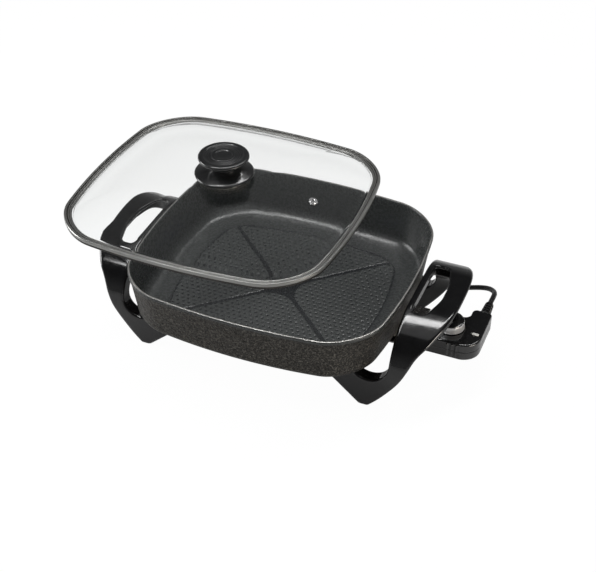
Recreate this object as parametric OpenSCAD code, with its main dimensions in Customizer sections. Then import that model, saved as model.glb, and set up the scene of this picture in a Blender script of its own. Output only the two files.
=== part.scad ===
// Electric skillet: a bowed square pan on two handle-and-leg mouldings, a domed glass lid
// held above it, and a plug-in temperature control with its cord. Millimetres, Z up.
// The origin is on the table under the middle of the pan; +X is the control's side.

/* [Pan] */
// Length of the rim along X
pan_length = 340; // [300:1:380]
// Width of the rim along Y
pan_width = 314; // [280:1:360]
// Corner radius of the rim
corner_radius = 58; // [45:1:75]
// How far the middle of each side bows out past its corners
side_bow = 15; // [8:0.5:20]
// Height of the rim above the table
rim_height = 122; // [105:1:140]
// Depth of the cooking cavity
pan_depth = 61; // [50:1:75]
// Thickness of the cast floor
floor_thickness = 5; // [4:0.5:8]
// Thickness of the wall at the rim
wall_thickness = 3; // [2.5:0.1:5]
// How far the wall leans in from the rim to the floor
wall_draft = 8; // [4:0.5:14]
// Radius where the outer wall turns under the floor
under_radius = 14; // [8:0.5:18]

/* [Heating element] */
// Diameter of the element's tube
element_diameter = 7; // [6:0.1:9]
// Half the length of the element's loop along X
element_half_length = 88; // [70:1:96]
// Half the width of the element's loop along Y
element_half_width = 68; // [50:1:76]
// Radius of the loop's outer bends
element_bend = 22; // [16:1:30]
// Distance from the middle to each terminal pin
terminal_offset = 16; // [13:0.5:19]
// Diameter of a terminal pin
terminal_diameter = 5; // [4:0.1:6]

/* [Handles] */
// Reach of the handle's top edge from the middle of the pan
handle_reach = 233; // [215:1:250]
// Height of the handle's top face under the rim
handle_drop = 7; // [2:0.5:12]
// Thickness of the handle's arch
handle_thickness = 18; // [14:0.5:24]
// Half the distance over the outside of a handle's two legs
leg_half_span = 104; // [92:1:112]
// Radius where the top of the handle turns down into a leg
arch_radius = 70; // [50:1:80]
// Clear width of the finger slot
slot_width = 27; // [22:0.5:34]
// Half the length of the finger slot
slot_half_length = 48; // [40:1:52]
// Width of the strip between the slot and the pan
strip_width = 7.5; // [5:0.5:12]
// Gap between the handle and the pan's wall
handle_gap = 2.5; // [1.5:0.1:5]
// Width of a foot's flat sole along X
foot_width = 10; // [7:0.5:16]
// Distance from the middle to the outer edge of a sole
foot_reach = 151; // [140:1:165]

/* [Lid] */
// Height of the lid above its seat, as photographed
lid_lift = 63; // [0:1:90]
// How far the lid is moved to the left, as photographed
lid_left = 70; // [0:1:90]
// How far the lid is moved to the front, as photographed
lid_front = 12; // [0:1:40]
// Rise of the glass dome above its flange
dome_rise = 27; // [15:1:40]
// Thickness of the glass
glass_thickness = 4; // [3:0.1:6]
// Height of the rolled steel band
band_height = 8; // [6:0.5:11]
// Width of the band's lips over the glass
band_width = 8; // [6:0.5:12]
// Diameter of the knob's top
knob_diameter = 61; // [48:1:70]
// Diameter of the flared knob base
knob_base_diameter = 71; // [56:1:80]
// Height of the knob above its seal
knob_height = 25.5; // [22:0.5:36]
// Distance from the lid's middle to its steam vent
vent_distance = 114; // [90:1:125]

/* [Control] */
// Drop of the probe's axis below the pan's underside
probe_drop = 6; // [5:0.5:8]
// Diameter of the probe rod
probe_diameter = 6; // [5:0.1:7]
// Length of the probe in front of the housing's nose
probe_length = 84; // [70:1:95]
// Height of the control's housing
housing_height = 23; // [21:0.5:28]
// Wall of the housing's mouldings
housing_wall = 2; // [1.5:0.1:2.5]
// Distance from the pan's middle to the far side of the housing
housing_reach = 259; // [254:1:270]
// Radius of the housing's big front corner
housing_corner = 22; // [14:1:25]
// Diameter of the dial's ring
dial_diameter = 34.5; // [28:0.5:38]
// Height of the dial above the housing
dial_height = 11; // [8:0.5:14]

/* [Cord] */
// Diameter of the cord
cord_diameter = 6.5; // [5.5:0.1:7.5]
// Diameter across the middle of the coil's turns
coil_diameter = 72; // [68:1:80]

/* [Hidden] */
$fn = 48;
eps = 0.01;

// Clearances
lid_seat_gap = 0.3;
running_gap = 0.08;
seat_gap = 0.1;

// Pan
half_length = pan_length / 2;
half_width = pan_width / 2;
arc_steps = 9;
side_steps = 8;
floor_top = rim_height - pan_depth;
floor_bottom = floor_top - floor_thickness;
probe_height = floor_bottom - probe_drop;
rim_bead = 0.6;
rim_bead_height = 5;
cove_radius = 16;
channel_width = element_diameter + 6;
well_diameter = probe_diameter + 3;
well_mouth = half_length - wall_draft - under_radius;
probe_rib_width = well_diameter + 6;
probe_rib_bottom = probe_height - well_diameter / 2 - 2;
well_end_gap = 2;
boss_diameter = 12;
boss_height = 6;
thread_diameter = 4;
thread_depth = boss_height + floor_thickness - 1.5;
groove_width = 2.6;
groove_depth = 0.6;
groove_length = pan_length - 40;
groove_centre = 9;

// Element
inner_bend = 12;
pin_start = well_mouth + 6;
pin_tip = half_length + 12;
insulator_length = 9;
insulator_diameter = element_diameter + 5;

// Guard
guard_wall = 1.6;
guard_start = half_length - 7;
guard_depth = 22;
guard_end = guard_start + guard_depth;
guard_half_width = 27;
guard_bottom = probe_height - 10;
guard_top = probe_height + 12;
guard_screw_x = well_mouth - 10;
guard_screw_y = guard_half_width - 5;
guard_boss_diameter = 10;
guard_tongue = 8;

// Handles
handle_top = rim_height - handle_drop;
arch_centre_y = leg_half_span - arch_radius;
arch_centre_z = handle_top - arch_radius;
strip_inner = half_length + handle_gap + 1;
slot_inner = strip_inner + strip_width;
leg_middle_y = leg_half_span - handle_thickness / 2;
leg_screw_x = [96, 121];
washer_diameter = 10;
screw_head_diameter = 8;
counterbore_diameter = 11;
head_height = 3;
washer_height = 1;
seat_z = floor_bottom - 2 * boss_height;

// Lid, in its own frame: z = 0 is the seat on the rim
band_sheet = 0.9;
band_overhang = 0.8;
flange_bottom = lid_seat_gap + band_sheet;
flange_top = flange_bottom + glass_thickness;
dome_half_length = half_length - band_width - 1;
dome_steps = [1, 0.97, 0.92, 0.84, 0.72, 0.56, 0.38, 0.2, 0.07];
dome_top = dome_height(dome_steps[len(dome_steps) - 1]);
glass_hole = 7;
vent_hole = 6.4;
vent_diameter = 10.5;
seal_height = 3;
seal_inset = 4;
seal_diameter = knob_base_diameter - 2 * seal_inset;
knob_foot = dome_top + seal_height;
knob_neck = 38;
knob_stem = 8;
knob_joint = 11.5;
knob_screw_diameter = 5;
insert_diameter = 9;
insert_length = 10;
lid_offset = [-lid_left, -lid_front, lid_lift];

// Control
housing_bottom = probe_height - 7;
housing_split = housing_bottom + housing_height / 2;
housing_top_z = housing_bottom + housing_height;
housing_front = -30;
housing_back = 24;
housing_start = 190;
nose_start = guard_start + 6;
nose_wall_gap = 0.8;
nose_side_gap = 2.4;
nose_join = 8;
well_start = nose_start - probe_length - well_end_gap;
side_arm_left = housing_reach - 24;
side_arm_end = 43;
grip_count = 3;
sleeve_diameter = terminal_diameter + 3;
sleeve_end = housing_start + 5;
housing_posts = [[housing_start + 9, housing_front + 5], [housing_reach - 8, side_arm_end - 30]];
dial_x = 218;
dial_clearance = 0.4;
shaft_diameter = 6;
dial_cap_height = 3;
dial_ring_wall = 2.5;
pointer_angle = 222;
cord_exit_x = side_arm_left + 13;
cord_z = housing_split;
relief_length = 30;
relief_start_diameter = 14;
relief_end_diameter = 10.5;
relief_ribs = 6;
lens_x = housing_reach - 9;
lens_y = -4;
screw_small = 3;
screw_cover = 8;
block_size = [14, 40, 7];

// Cord route: straight out of the relief, down to the table and round behind the pan
cord_points = [
    [248, 73, 54.5], [248, 80, 54.5], [248, 90, 53.5], [247, 100, 51], [243, 110, 47],
    [235, 119, 42], [224, 125, 36], [211, 128, 30], [198, 130, 24], [185, 133, 18],
    [172, 138, 12], [159, 144, 8], [146, 151, 5], [132, 159, 3.5], [118, 167, 3.5],
    [104, 175, 3.5], [90, 182, 3.5], [76, 188, 3.5], [62, 193, 3.6], [50, 196, 4],
    [40, 197.5, 4.5], [33, 198, 4.6], [26, 198, 4.6]];
cord_sides = 10;
coil_centre = [20, 239.25];
coil_loops = 3;
coil_rings = 24;
coil_sides = 6;
coil_step = 7;
coil_lie = 4.6;
coil_inner = coil_diameter / 2 - coil_step * coil_loops / 4;
coil_outer = coil_inner + coil_step * coil_loops / 2;
coil_straight = 6;
tail_points = [[8, 11], [0, 9.4], [-10, 7.8], [-20, 7], [-28, 7]];
tie_width = 7;
tie_sheet = 1;
tie_angle = 60;
plug_back = -28;
plug_length = 34;
plug_width = 25;
plug_height = 14;
blade_length = 17;
blade_spread = 12.7;
blade_thickness = 1.5;
blade_width = 6.4;

// ---- Outlines and lofts ----

// Points of a square with round corners, counter-clockwise from +X
function square_ring(a, b, r) = [
    for (q = [0:3], i = [0:arc_steps + side_steps - 1])
        let (turn = 90 * (q + min(i / arc_steps, 1)),
             centre = corner_centre(q, a - r, b - r),
             next = corner_centre(q + 1, a - r, b - r),
             along = max(i - arc_steps, 0) / side_steps)
        centre + along * (next - centre) + r * [cos(turn), sin(turn)]];

function corner_centre(q, x, y) = [[x, y], [-x, y], [-x, -y], [x, -y]][q % 4];

// The same with its sides bowed out from the corners
function bowed(points, a, b, bow) = [
    for (p = points) [p.x * (1 - bow / a * pow(p.y / b, 2)), p.y * (1 - bow / b * pow(p.x / a, 2))]];

// The rim's outline moved in by an inset
function rim_outline(inset) = bowed(
    square_ring(half_length - inset, half_width - inset, max(corner_radius - inset, 12)),
    half_length - inset, half_width - inset, side_bow);

function lifted(points, z) = [for (p = points) [p.x, p.y, z]];

// Triangles between rings of n points, each ring outward or downward of the last
function skin(n, rings, closed) = [
    for (k = [0:rings - (closed ? 1 : 2)], i = [0:n - 1])
        let (j = (i + 1) % n, next = (k + 1) % rings)
        each [[k * n + i, k * n + j, next * n + j], [k * n + i, next * n + j, next * n + i]]];

function fan(n, first, flip) = [
    for (i = [1:n - 2]) flip ? [first, first + i + 1, first + i] : [first, first + i, first + i + 1]];

module loft(rings, closed = false) {
    n = len(rings[0]);
    last = (len(rings) - 1) * n;
    caps = closed ? [] : concat(fan(n, 0, true), fan(n, last, false));
    polyhedron(points = [for (r = rings) each r],
        faces = concat(skin(n, len(rings), closed), caps));
}

// A polygon whose corners [x, y, radius] are rounded
function unit(v) = v / norm(v);

function round_corner(before, at, after, r) =
    let (u = unit(before - at), v = unit(after - at),
         half = acos(u * v) / 2,
         centre = at + unit(u + v) * r / sin(half),
         start = at + u * r / tan(half) - centre,
         end = at + v * r / tan(half) - centre,
         from = atan2(start.y, start.x),
         sweep = (atan2(end.y, end.x) - from + 540) % 360 - 180,
         steps = max(2, ceil(abs(sweep) / 11)))
    [for (i = [0:steps]) centre + r * [cos(from + sweep * i / steps), sin(from + sweep * i / steps)]];

function rounded(corners) = [
    for (i = [0:len(corners) - 1])
        let (n = len(corners), c = corners[i],
             before = corners[(i + n - 1) % n], after = corners[(i + 1) % n])
        each (c.z > 0
            ? round_corner([before.x, before.y], [c.x, c.y], [after.x, after.y], c.z)
            : [[c.x, c.y]])];

module upright(length) {
    rotate([90, 0, 0]) linear_extrude(length, center = true) children();
}

module along_x(length) {
    rotate([90, 0, 90]) linear_extrude(length) children();
}

module rod_x(x1, x2, y, z, d) {
    translate([x1, y, z]) rotate([0, 90, 0]) cylinder(d = d, h = x2 - x1);
}

module ring_pipe(outer, inner, height) {
    difference() {
        cylinder(d = outer, h = height);
        translate([0, 0, -1]) cylinder(d = inner, h = height + 2);
    }
}

module both_sides() {
    children();
    mirror([0, 1, 0]) children();
}

// ---- Pan ----

function inner_inset(z) = wall_thickness + wall_draft * (rim_height - z) / pan_depth;
function outer_inset(z) = rim_bead + wall_draft * (rim_height - z) / pan_depth;

function cove_ring(turn) =
    let (z = floor_top + cove_radius, inset = inner_inset(z) + cove_radius)
    lifted(rim_outline(inset - cove_radius * sin(turn)), z - cove_radius * cos(turn));

function under_ring(turn) =
    let (z = floor_bottom + under_radius, inset = outer_inset(z) + under_radius)
    lifted(rim_outline(inset - under_radius * cos(turn)), z - under_radius * sin(turn));

bead_bottom = rim_height - rim_bead_height;
pan_rings = concat(
    [for (turn = [0:18:90]) cove_ring(turn)],
    [lifted(rim_outline(wall_thickness), rim_height - 1),
     lifted(rim_outline(wall_thickness - 0.7), rim_height),
     lifted(rim_outline(0.9), rim_height),
     lifted(rim_outline(0), rim_height - 1),
     lifted(rim_outline(0), bead_bottom),
     lifted(rim_outline(outer_inset(bead_bottom - 1)), bead_bottom - 1)],
    [for (turn = [0:22.5:90]) under_ring(turn)]);

// The element's path: two straight ends, two small elbows and a loop with round corners
elbow_x = element_half_length + inner_bend;
elbow_y = terminal_offset + inner_bend;
loop_x = element_half_length - element_bend;
loop_y = element_half_width - element_bend;

module path_band(width) {
    module bend(centre_x, centre_y, radius, x_sign, y_sign) {
        translate([centre_x, centre_y]) intersection() {
            difference() {
                circle(radius + width / 2);
                circle(radius - width / 2);
            }
            scale([x_sign, y_sign]) square(radius + width);
        }
    }
    both_sides() {
        translate([elbow_x, terminal_offset - width / 2]) square([well_mouth - elbow_x, width]);
        bend(elbow_x, elbow_y, inner_bend, -1, -1);
        translate([element_half_length - width / 2, elbow_y]) square([width, loop_y - elbow_y]);
        bend(loop_x, loop_y, element_bend, 1, 1);
        translate([-loop_x, element_half_width - width / 2]) square([2 * loop_x, width]);
        bend(-loop_x, loop_y, element_bend, -1, 1);
        translate([-element_half_length - width / 2, 0]) square([width, loop_y]);
    }
}

module path_tube(d) {
    module bend(centre_x, centre_y, radius, start) {
        translate([centre_x, centre_y, probe_height]) rotate([0, 0, start])
            rotate_extrude(angle = 90) translate([radius, 0]) circle(d = d);
    }
    module rod_y(x, y1, y2) {
        translate([x, y2, probe_height]) rotate([90, 0, 0]) cylinder(d = d, h = y2 - y1);
    }
    both_sides() {
        rod_x(elbow_x, pin_start, terminal_offset, probe_height, d);
        bend(elbow_x, elbow_y, inner_bend, 180);
        rod_y(element_half_length, elbow_y, loop_y);
        bend(loop_x, loop_y, element_bend, 0);
        rod_x(-loop_x, loop_x, element_half_width, probe_height, d);
        bend(-loop_x, loop_y, element_bend, 90);
    }
    rod_y(-element_half_length, -loop_y, loop_y);
}

module at_leg_screws() {
    for (x = leg_screw_x, side = [-1, 1], end = [-1, 1])
        translate([side * x, end * leg_middle_y, 0]) children();
}

module at_guard_screws() {
    for (end = [-1, 1]) translate([guard_screw_x, end * guard_screw_y, 0]) children();
}

module floor_grooves() {
    translate([0, 0, floor_top - groove_depth]) linear_extrude(groove_depth + 1) {
        for (side = [-1, 1])
            rotate([0, 0, side * atan(pan_width / pan_length)])
                square([groove_length, groove_width], center = true);
        circle(groove_centre);
    }
}

module pan() {
    color("#3a3a3c") difference() {
        union() {
            loft(pan_rings);
            translate([0, 0, probe_height])
                linear_extrude(floor_bottom + 1 - probe_height) path_band(channel_width);
            translate([well_start - 5, -probe_rib_width / 2, probe_rib_bottom])
                cube([well_mouth - well_start + 5, probe_rib_width, floor_bottom + 1 - probe_rib_bottom]);
            at_leg_screws() translate([0, 0, floor_bottom - boss_height])
                cylinder(d = boss_diameter, h = boss_height + 1);
            at_guard_screws() translate([0, 0, guard_bottom + guard_wall])
                cylinder(d = guard_boss_diameter, h = floor_bottom + 1 - guard_bottom - guard_wall);
        }
        floor_grooves();
        path_tube(element_diameter + seat_gap);
        rod_x(well_start, well_mouth + 1, 0, probe_height, well_diameter);
        at_leg_screws() translate([0, 0, floor_bottom - boss_height - 1])
            cylinder(d = thread_diameter, h = thread_depth + 1);
        at_guard_screws() translate([0, 0, guard_bottom])
            cylinder(d = screw_small, h = floor_bottom + 1 - guard_bottom);
    }
}

module heating_element() {
    color("#8c8f92") path_tube(element_diameter);
}

module terminal_pins() {
    color("#c9c5b8") both_sides() rod_x(pin_start, pin_tip, terminal_offset, probe_height, terminal_diameter);
}

module terminal_insulators() {
    color("#ece7dc") both_sides() difference() {
        rod_x(pin_start, pin_start + insulator_length, terminal_offset, probe_height, insulator_diameter);
        rod_x(pin_start - 1, pin_start + insulator_length + 1, terminal_offset, probe_height,
            terminal_diameter);
    }
}

module probe_well() {
    color("#9a9c9f") difference() {
        rod_x(well_start, well_mouth, 0, probe_height, well_diameter);
        rod_x(well_start - 1, well_mouth + 1, 0, probe_height, probe_diameter + 2 * running_gap);
    }
}

module terminal_guard() {
    tongue_start = guard_screw_x - guard_tongue;
    width = 2 * guard_half_width;
    color("#b9bbbd") difference() {
        union() {
            translate([guard_start, -guard_half_width, guard_bottom])
                cube([guard_end - guard_start, width, guard_top - guard_bottom]);
            translate([tongue_start, -guard_half_width, guard_bottom])
                cube([guard_start - tongue_start + 1, width, guard_wall]);
        }
        translate([guard_start - 1, guard_wall - guard_half_width, guard_bottom + guard_wall])
            cube([guard_end - guard_start + 2, width - 2 * guard_wall,
                guard_top - guard_bottom - 2 * guard_wall]);
        at_guard_screws() translate([0, 0, guard_bottom - 1]) cylinder(d = screw_small, h = guard_wall + 2);
    }
}

module guard_screws() {
    color("#b0b3b6") at_guard_screws() {
        translate([0, 0, guard_bottom - 2]) cylinder(d = 6, h = 2);
        translate([0, 0, guard_bottom - eps]) cylinder(d = screw_small, h = floor_bottom - guard_bottom);
    }
}

// ---- Handles ----

// Outer edge of a leg, from its sole to the handle's top: shares of the reach and height gained
leg_curve = [[0, 0], [0.146, 0.113], [0.285, 0.241], [0.395, 0.354], [0.485, 0.467], [0.56, 0.585],
    [0.62, 0.682], [0.7, 0.764], [0.81, 0.831], [0.92, 0.895], [0.985, 0.959], [1.01, 1.036]];
// The same for the plan of the handle's outer edge: shares of the half span and of the reach
plan_curve = [[0, 1], [0.15, 0.9985], [0.29, 0.993], [0.43, 0.983], [0.567, 0.966],
    [0.69, 0.94], [0.837, 0.906], [1.01, 0.865]];
// A leg's arm dips under the pan between its fillet and its seat: shares of that run and of the dip
arm_curve = [[1, 0], [0.65, 0.09], [0.3, 0.35], [0.12, 0.7], [0, 1]];
arm_dip = 14;
leg_fillet = 24;
seat_end = leg_screw_x[1] + boss_diameter / 2 + 2.5;
pocket_grow = 8;
pocket_roof = 6;
web_tip_x = leg_screw_x[0] - 12;
web_tip_height = boss_height;

module leg_profile() {
    outer = [for (c = leg_curve) [foot_reach + (handle_reach - foot_reach) * c.x, handle_top * c.y]];
    arm_z = floor_bottom - arm_dip;
    run = strip_inner - leg_fillet - seat_end;
    fillet = [for (turn = [0:-11.25:-78.75])
        [strip_inner - leg_fillet + leg_fillet * cos(turn), arm_z + leg_fillet * (1 + sin(turn))]];
    arm = [for (c = arm_curve) [seat_end + run * c.x, arm_z + arm_dip * c.y]];
    inner = [[web_tip_x, floor_bottom], [web_tip_x, floor_bottom - web_tip_height],
        [foot_reach - foot_width, 0]];
    polygon(concat(outer, [[strip_inner, handle_top + 1]], fillet, arm, inner));
}

module plan_profile() {
    front = [for (c = plan_curve) [handle_reach * c.y, -leg_half_span * c.x]];
    back = [for (i = [len(plan_curve) - 1:-1:1]) [front[i].x, -front[i].y]];
    polygon(concat(back, front, [[0, -leg_half_span - 1], [0, leg_half_span + 1]]));
}

module arch_shape(inset) {
    radius = arch_radius - inset;
    span = arch_centre_y + radius;
    for (end = [-1, 1]) translate([end * arch_centre_y, arch_centre_z]) circle(radius);
    translate([-arch_centre_y, -1]) square([2 * arch_centre_y, arch_centre_z + radius + 1]);
    translate([-span, -1]) square([2 * span, arch_centre_z + 1]);
}

module slot_shape(grow) {
    inner = slot_inner - grow / 4;
    outer = slot_inner + slot_width + grow;
    corner = outer - 9;
    half = slot_half_length + grow;
    middle = half / 3;
    polygon(rounded([[inner, -half, 6], [corner, -half, 9], [outer, -middle, 60],
        [outer, middle, 60], [corner, half, 9], [inner, half, 6]]));
}

module handle() {
    difference() {
        intersection() {
            along_x(handle_reach + 5) difference() {
                arch_shape(0);
                arch_shape(handle_thickness);
            }
            upright(2 * leg_half_span + 4) leg_profile();
            linear_extrude(handle_top + 1) plan_profile();
        }
        translate([0, 0, handle_top - handle_thickness - 2])
            linear_extrude(handle_thickness + 4) slot_shape(0);
        translate([0, 0, handle_top - handle_thickness - 2])
            linear_extrude(handle_thickness + 2 - pocket_roof) slot_shape(pocket_grow);
        for (x = leg_screw_x, end = [-1, 1]) translate([x, end * leg_middle_y, 0]) {
            translate([0, 0, -1]) cylinder(d = counterbore_diameter, h = seat_z + 1);
            cylinder(d = thread_diameter + 0.5, h = floor_bottom + 1);
            translate([0, 0, floor_bottom - boss_height])
                cylinder(d = boss_diameter + 2 * seat_gap, h = boss_height + 1);
        }
    }
}

module right_handle() {
    color("#161617") handle();
}

module left_handle() {
    color("#161617") mirror([1, 0, 0]) handle();
}

module handle_screws(side) {
    color("#b0b3b6") for (x = leg_screw_x, end = [-1, 1]) translate([side * x, end * leg_middle_y, 0]) {
        translate([0, 0, seat_z - washer_height - head_height])
            cylinder(d = screw_head_diameter, h = head_height);
        translate([0, 0, seat_z - washer_height - eps])
            cylinder(d = thread_diameter, h = washer_height + boss_height + thread_depth - 0.5);
    }
}

module handle_washers(side) {
    color("#c2c5c8") for (x = leg_screw_x, end = [-1, 1])
        translate([side * x, end * leg_middle_y, seat_z - washer_height])
            ring_pipe(washer_diameter, thread_diameter, washer_height);
}

// ---- Lid ----

function dome_height(f) = flange_top + dome_rise * pow(1 - pow(f, 3), 0.8);

function dome_ring(f, drop) =
    lifted([for (p = rim_outline(half_length - dome_half_length)) f * p], dome_height(f) - drop);

module lid_frame() {
    translate(lid_offset + [0, 0, rim_height]) children();
}

vent_share = vent_distance / dome_half_length;
vent_step = 0.01;
vent_slope = atan((dome_height(vent_share - vent_step) - dome_height(vent_share + vent_step))
    / (2 * vent_step * dome_half_length));

module at_vent() {
    translate([vent_distance, 0, dome_height(vent_share)]) rotate([0, vent_slope, 0]) children();
}

module lid_glass() {
    steps = len(dome_steps);
    flange_inset = 1.5;
    rings = concat(
        [for (i = [steps - 1:-1:0]) dome_ring(dome_steps[i], 0)],
        [lifted(rim_outline(flange_inset), flange_top), lifted(rim_outline(flange_inset), flange_bottom)],
        [for (i = [0:steps - 1]) dome_ring(dome_steps[i], glass_thickness)]);
    color("#d5e6e2", 0.5) lid_frame() difference() {
        loft(rings);
        translate([0, 0, dome_top - 2 * glass_thickness]) cylinder(d = glass_hole, h = 3 * glass_thickness);
        at_vent() translate([0, 0, -2 * glass_thickness]) cylinder(d = vent_hole, h = 3 * glass_thickness);
    }
}

module lid_rim_band() {
    bead = band_width - 1.6;
    profile = [
        [band_width, flange_top + band_sheet], [1.2, band_height], [0.1, band_height],
        [-band_overhang, band_height - 1], [-band_overhang, lid_seat_gap + 0.8], [0.1, lid_seat_gap],
        [bead - band_sheet, lid_seat_gap], [bead - band_sheet, -1.8], [bead, -1.8],
        [bead, flange_bottom], [0.7, flange_bottom], [0.2, flange_bottom + 0.5],
        [0.2, band_height - 1.3], [0.7, band_height - band_sheet], [band_width, flange_top]];
    color("#a9abad") lid_frame() loft([for (p = profile) lifted(rim_outline(p.x), p.y)], true);
}

module steam_vent() {
    flange = 1;
    hollow_gap = 0.4;
    under = glass_thickness + hollow_gap;
    color("#c6c8ca") lid_frame() at_vent() rotate_extrude() polygon([
        [1.6, flange * 0.6], [2.2, flange], [vent_diameter / 2 - 0.4, flange], [vent_diameter / 2, 0],
        [vent_hole / 2, 0], [vent_hole / 2, -under], [vent_hole / 2 + 1.2, -under],
        [vent_hole / 2 + 1, -under - 0.8], [1.6, -under - 0.8]]);
}

module knob_seal() {
    color("#d8d6cf") lid_frame() translate([0, 0, dome_top])
        ring_pipe(seal_diameter, glass_hole, seal_height);
}

module knob_base() {
    rim = knob_base_diameter / 2;
    neck = knob_neck / 2;
    top = knob_joint;
    skirt = [[0, 0], [0, 2.2], [0.09, 3.4], [0.3, 4.9], [0.54, 6.6], [0.76, 8.5], [0.91, 10.2], [1, top]];
    wall = 2;
    color("#1c1c1e") lid_frame() translate([0, 0, knob_foot]) difference() {
        rotate_extrude() polygon(concat(
            [for (s = skirt) [rim + (neck - rim) * s.x, s.y]], [[neck - wall, top]],
            [for (i = [len(skirt) - 2:-1:3]) [rim + (neck - rim) * skirt[i].x - wall, skirt[i].y - wall]],
            [[knob_stem + 0.5, wall], [knob_stem + 0.5, 0]]));
        for (turn = [15:60:315]) rotate([0, 0, turn]) translate([rim - 4, -2.5, -1]) cube([6, 5, 2.2]);
    }
}

module knob_top() {
    edge = knob_diameter / 2;
    neck = knob_neck / 2;
    top = knob_height;
    disc = top - 6;
    color("#1c1c1e") lid_frame() translate([0, 0, knob_foot]) difference() {
        rotate_extrude() polygon([
            [0, 0], [knob_stem, 0], [knob_stem, knob_joint - 2.5], [neck - 3, knob_joint],
            [neck, knob_joint], [neck - 0.6, knob_joint + 1.5],
            [neck + 0.4, disc - 4.5], [neck + 4, disc - 1.6], [edge - 3.5, disc],
            [edge - 0.9, disc + 1.2], [edge, disc + 2.6], [edge, top - 2],
            [edge - 0.9, top - 0.8], [edge - 2.5, top], [edge - 6.5, top], [edge - 7.3, top - 0.7],
            [edge - 15.5, top - 0.7], [edge - 16.3, top],
            [edge - 20, top], [edge - 20.8, top - 0.9], [0, top - 0.9]]);
        translate([0, 0, -1]) cylinder(d = insert_diameter, h = insert_length + 1);
    }
}

module knob_insert() {
    color("#b8923a") lid_frame() translate([0, 0, knob_foot])
        ring_pipe(insert_diameter, knob_screw_diameter, insert_length);
}

module knob_washer() {
    color("#c2c5c8") lid_frame() translate([0, 0, dome_top - glass_thickness - 1.5])
        ring_pipe(20, knob_screw_diameter, 1.5);
}

module knob_screw() {
    seat = dome_top - glass_thickness - 1.5;
    color("#b0b3b6") lid_frame() translate([0, 0, seat]) {
        translate([0, 0, -3]) cylinder(d = 9, h = 3);
        translate([0, 0, -eps]) cylinder(d = knob_screw_diameter, h = knob_foot - seat + insert_length - 1);
    }
}

// ---- Control ----

module housing_outline(inset) {
    left = housing_start + inset;
    right = housing_reach - inset;
    front = housing_front + inset;
    back = housing_back - inset;
    arm = side_arm_left + inset;
    polygon(rounded([
        [left, front + 6, 4 - inset], [left + 6, front, 4 - inset], [right, front, housing_corner - inset],
        [right, side_arm_end - inset, 5 - inset], [arm, side_arm_end - inset, 6 - inset],
        [arm, back, 8 + inset], [left, back, 5 - inset]]));
}

module housing_post(bottom, height) {
    for (p = housing_posts) translate([p.x, p.y, bottom]) cylinder(d = 7, h = height);
}

module housing_post_holes(d, bottom, height) {
    for (p = housing_posts) translate([p.x, p.y, bottom]) cylinder(d = d, h = height);
}

module grip_ribs(bottom, top) {
    for (i = [0:grip_count - 1])
        translate([side_arm_left - 2 - 5.5 * i, housing_front - 1, bottom]) cube([2.6, 2, top - bottom]);
}

module cord_hole() {
    translate([cord_exit_x, side_arm_end + 1, cord_z]) rotate([90, 0, 0])
        cylinder(d = relief_end_diameter, h = housing_wall + 2);
}

module control_top() {
    color("#161617") difference() {
        union() {
            difference() {
                translate([0, 0, housing_split])
                    linear_extrude(housing_top_z - housing_split) housing_outline(0);
                translate([0, 0, housing_split - 1])
                    linear_extrude(housing_top_z - housing_split + 1 - housing_wall)
                        housing_outline(housing_wall);
            }
            housing_post(housing_split, housing_top_z - housing_split - 1);
            grip_ribs(housing_split, housing_top_z - 2);
        }
        cord_hole();
        translate([dial_x, 0, housing_top_z - housing_wall - 1])
            cylinder(d = shaft_diameter + 2 * running_gap, h = housing_wall + 2);
        translate([0, 0, housing_top_z - housing_wall - 1]) linear_extrude(housing_wall + 2) lens_shape();
        housing_post_holes(screw_small, housing_split - 1, housing_height / 2 - 3);
    }
}

module control_base() {
    nose_half = guard_half_width - guard_wall - nose_side_gap;
    nose_bottom = guard_bottom + guard_wall + nose_wall_gap;
    nose_top = guard_top - guard_wall - nose_wall_gap;
    color("#161617") difference() {
        union() {
            difference() {
                translate([0, 0, housing_bottom])
                    linear_extrude(housing_split - housing_bottom) housing_outline(0);
                translate([0, 0, housing_bottom + housing_wall])
                    linear_extrude(housing_split - housing_bottom) housing_outline(housing_wall);
            }
            translate([nose_start, -nose_half, nose_bottom])
                cube([housing_start - nose_start, 2 * nose_half, nose_top - nose_bottom]);
            translate([nose_start, housing_front + nose_join, nose_bottom])
                cube([housing_start + housing_wall - nose_start, housing_back - housing_front - 2 * nose_join,
                    housing_split - nose_bottom]);
            housing_post(housing_bottom + 1, housing_split - housing_bottom - 1);
            grip_ribs(housing_bottom + 2, housing_split);
        }
        cord_hole();
        both_sides() rod_x(nose_start - 1, sleeve_end, terminal_offset, probe_height, sleeve_diameter);
        rod_x(nose_start - 1, sleeve_end, 0, probe_height, probe_diameter);
        housing_post_holes(screw_small, housing_bottom - 1, housing_height);
        housing_post_holes(6, housing_bottom - 1, 3);
    }
}

module probe_rod() {
    tip = nose_start - probe_length;
    color("#b7babd") {
        rod_x(tip + probe_diameter / 2, sleeve_end + block_size.x, 0, probe_height, probe_diameter);
        translate([tip + probe_diameter / 2, 0, probe_height]) sphere(d = probe_diameter);
    }
}

module contact_sleeves() {
    color("#c9b06a") both_sides() difference() {
        rod_x(nose_start + 0.5, sleeve_end, terminal_offset, probe_height, sleeve_diameter);
        rod_x(nose_start - 1, sleeve_end + 1, terminal_offset, probe_height,
            terminal_diameter + 2 * running_gap);
    }
}

module terminal_block() {
    color("#8a6b3c") difference() {
        translate([sleeve_end, -block_size.y / 2, housing_bottom + housing_wall])
            cube([block_size.x, block_size.y, block_size.z]);
        rod_x(sleeve_end - 1, sleeve_end + block_size.x + 1, 0, probe_height, probe_diameter);
    }
}

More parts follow.
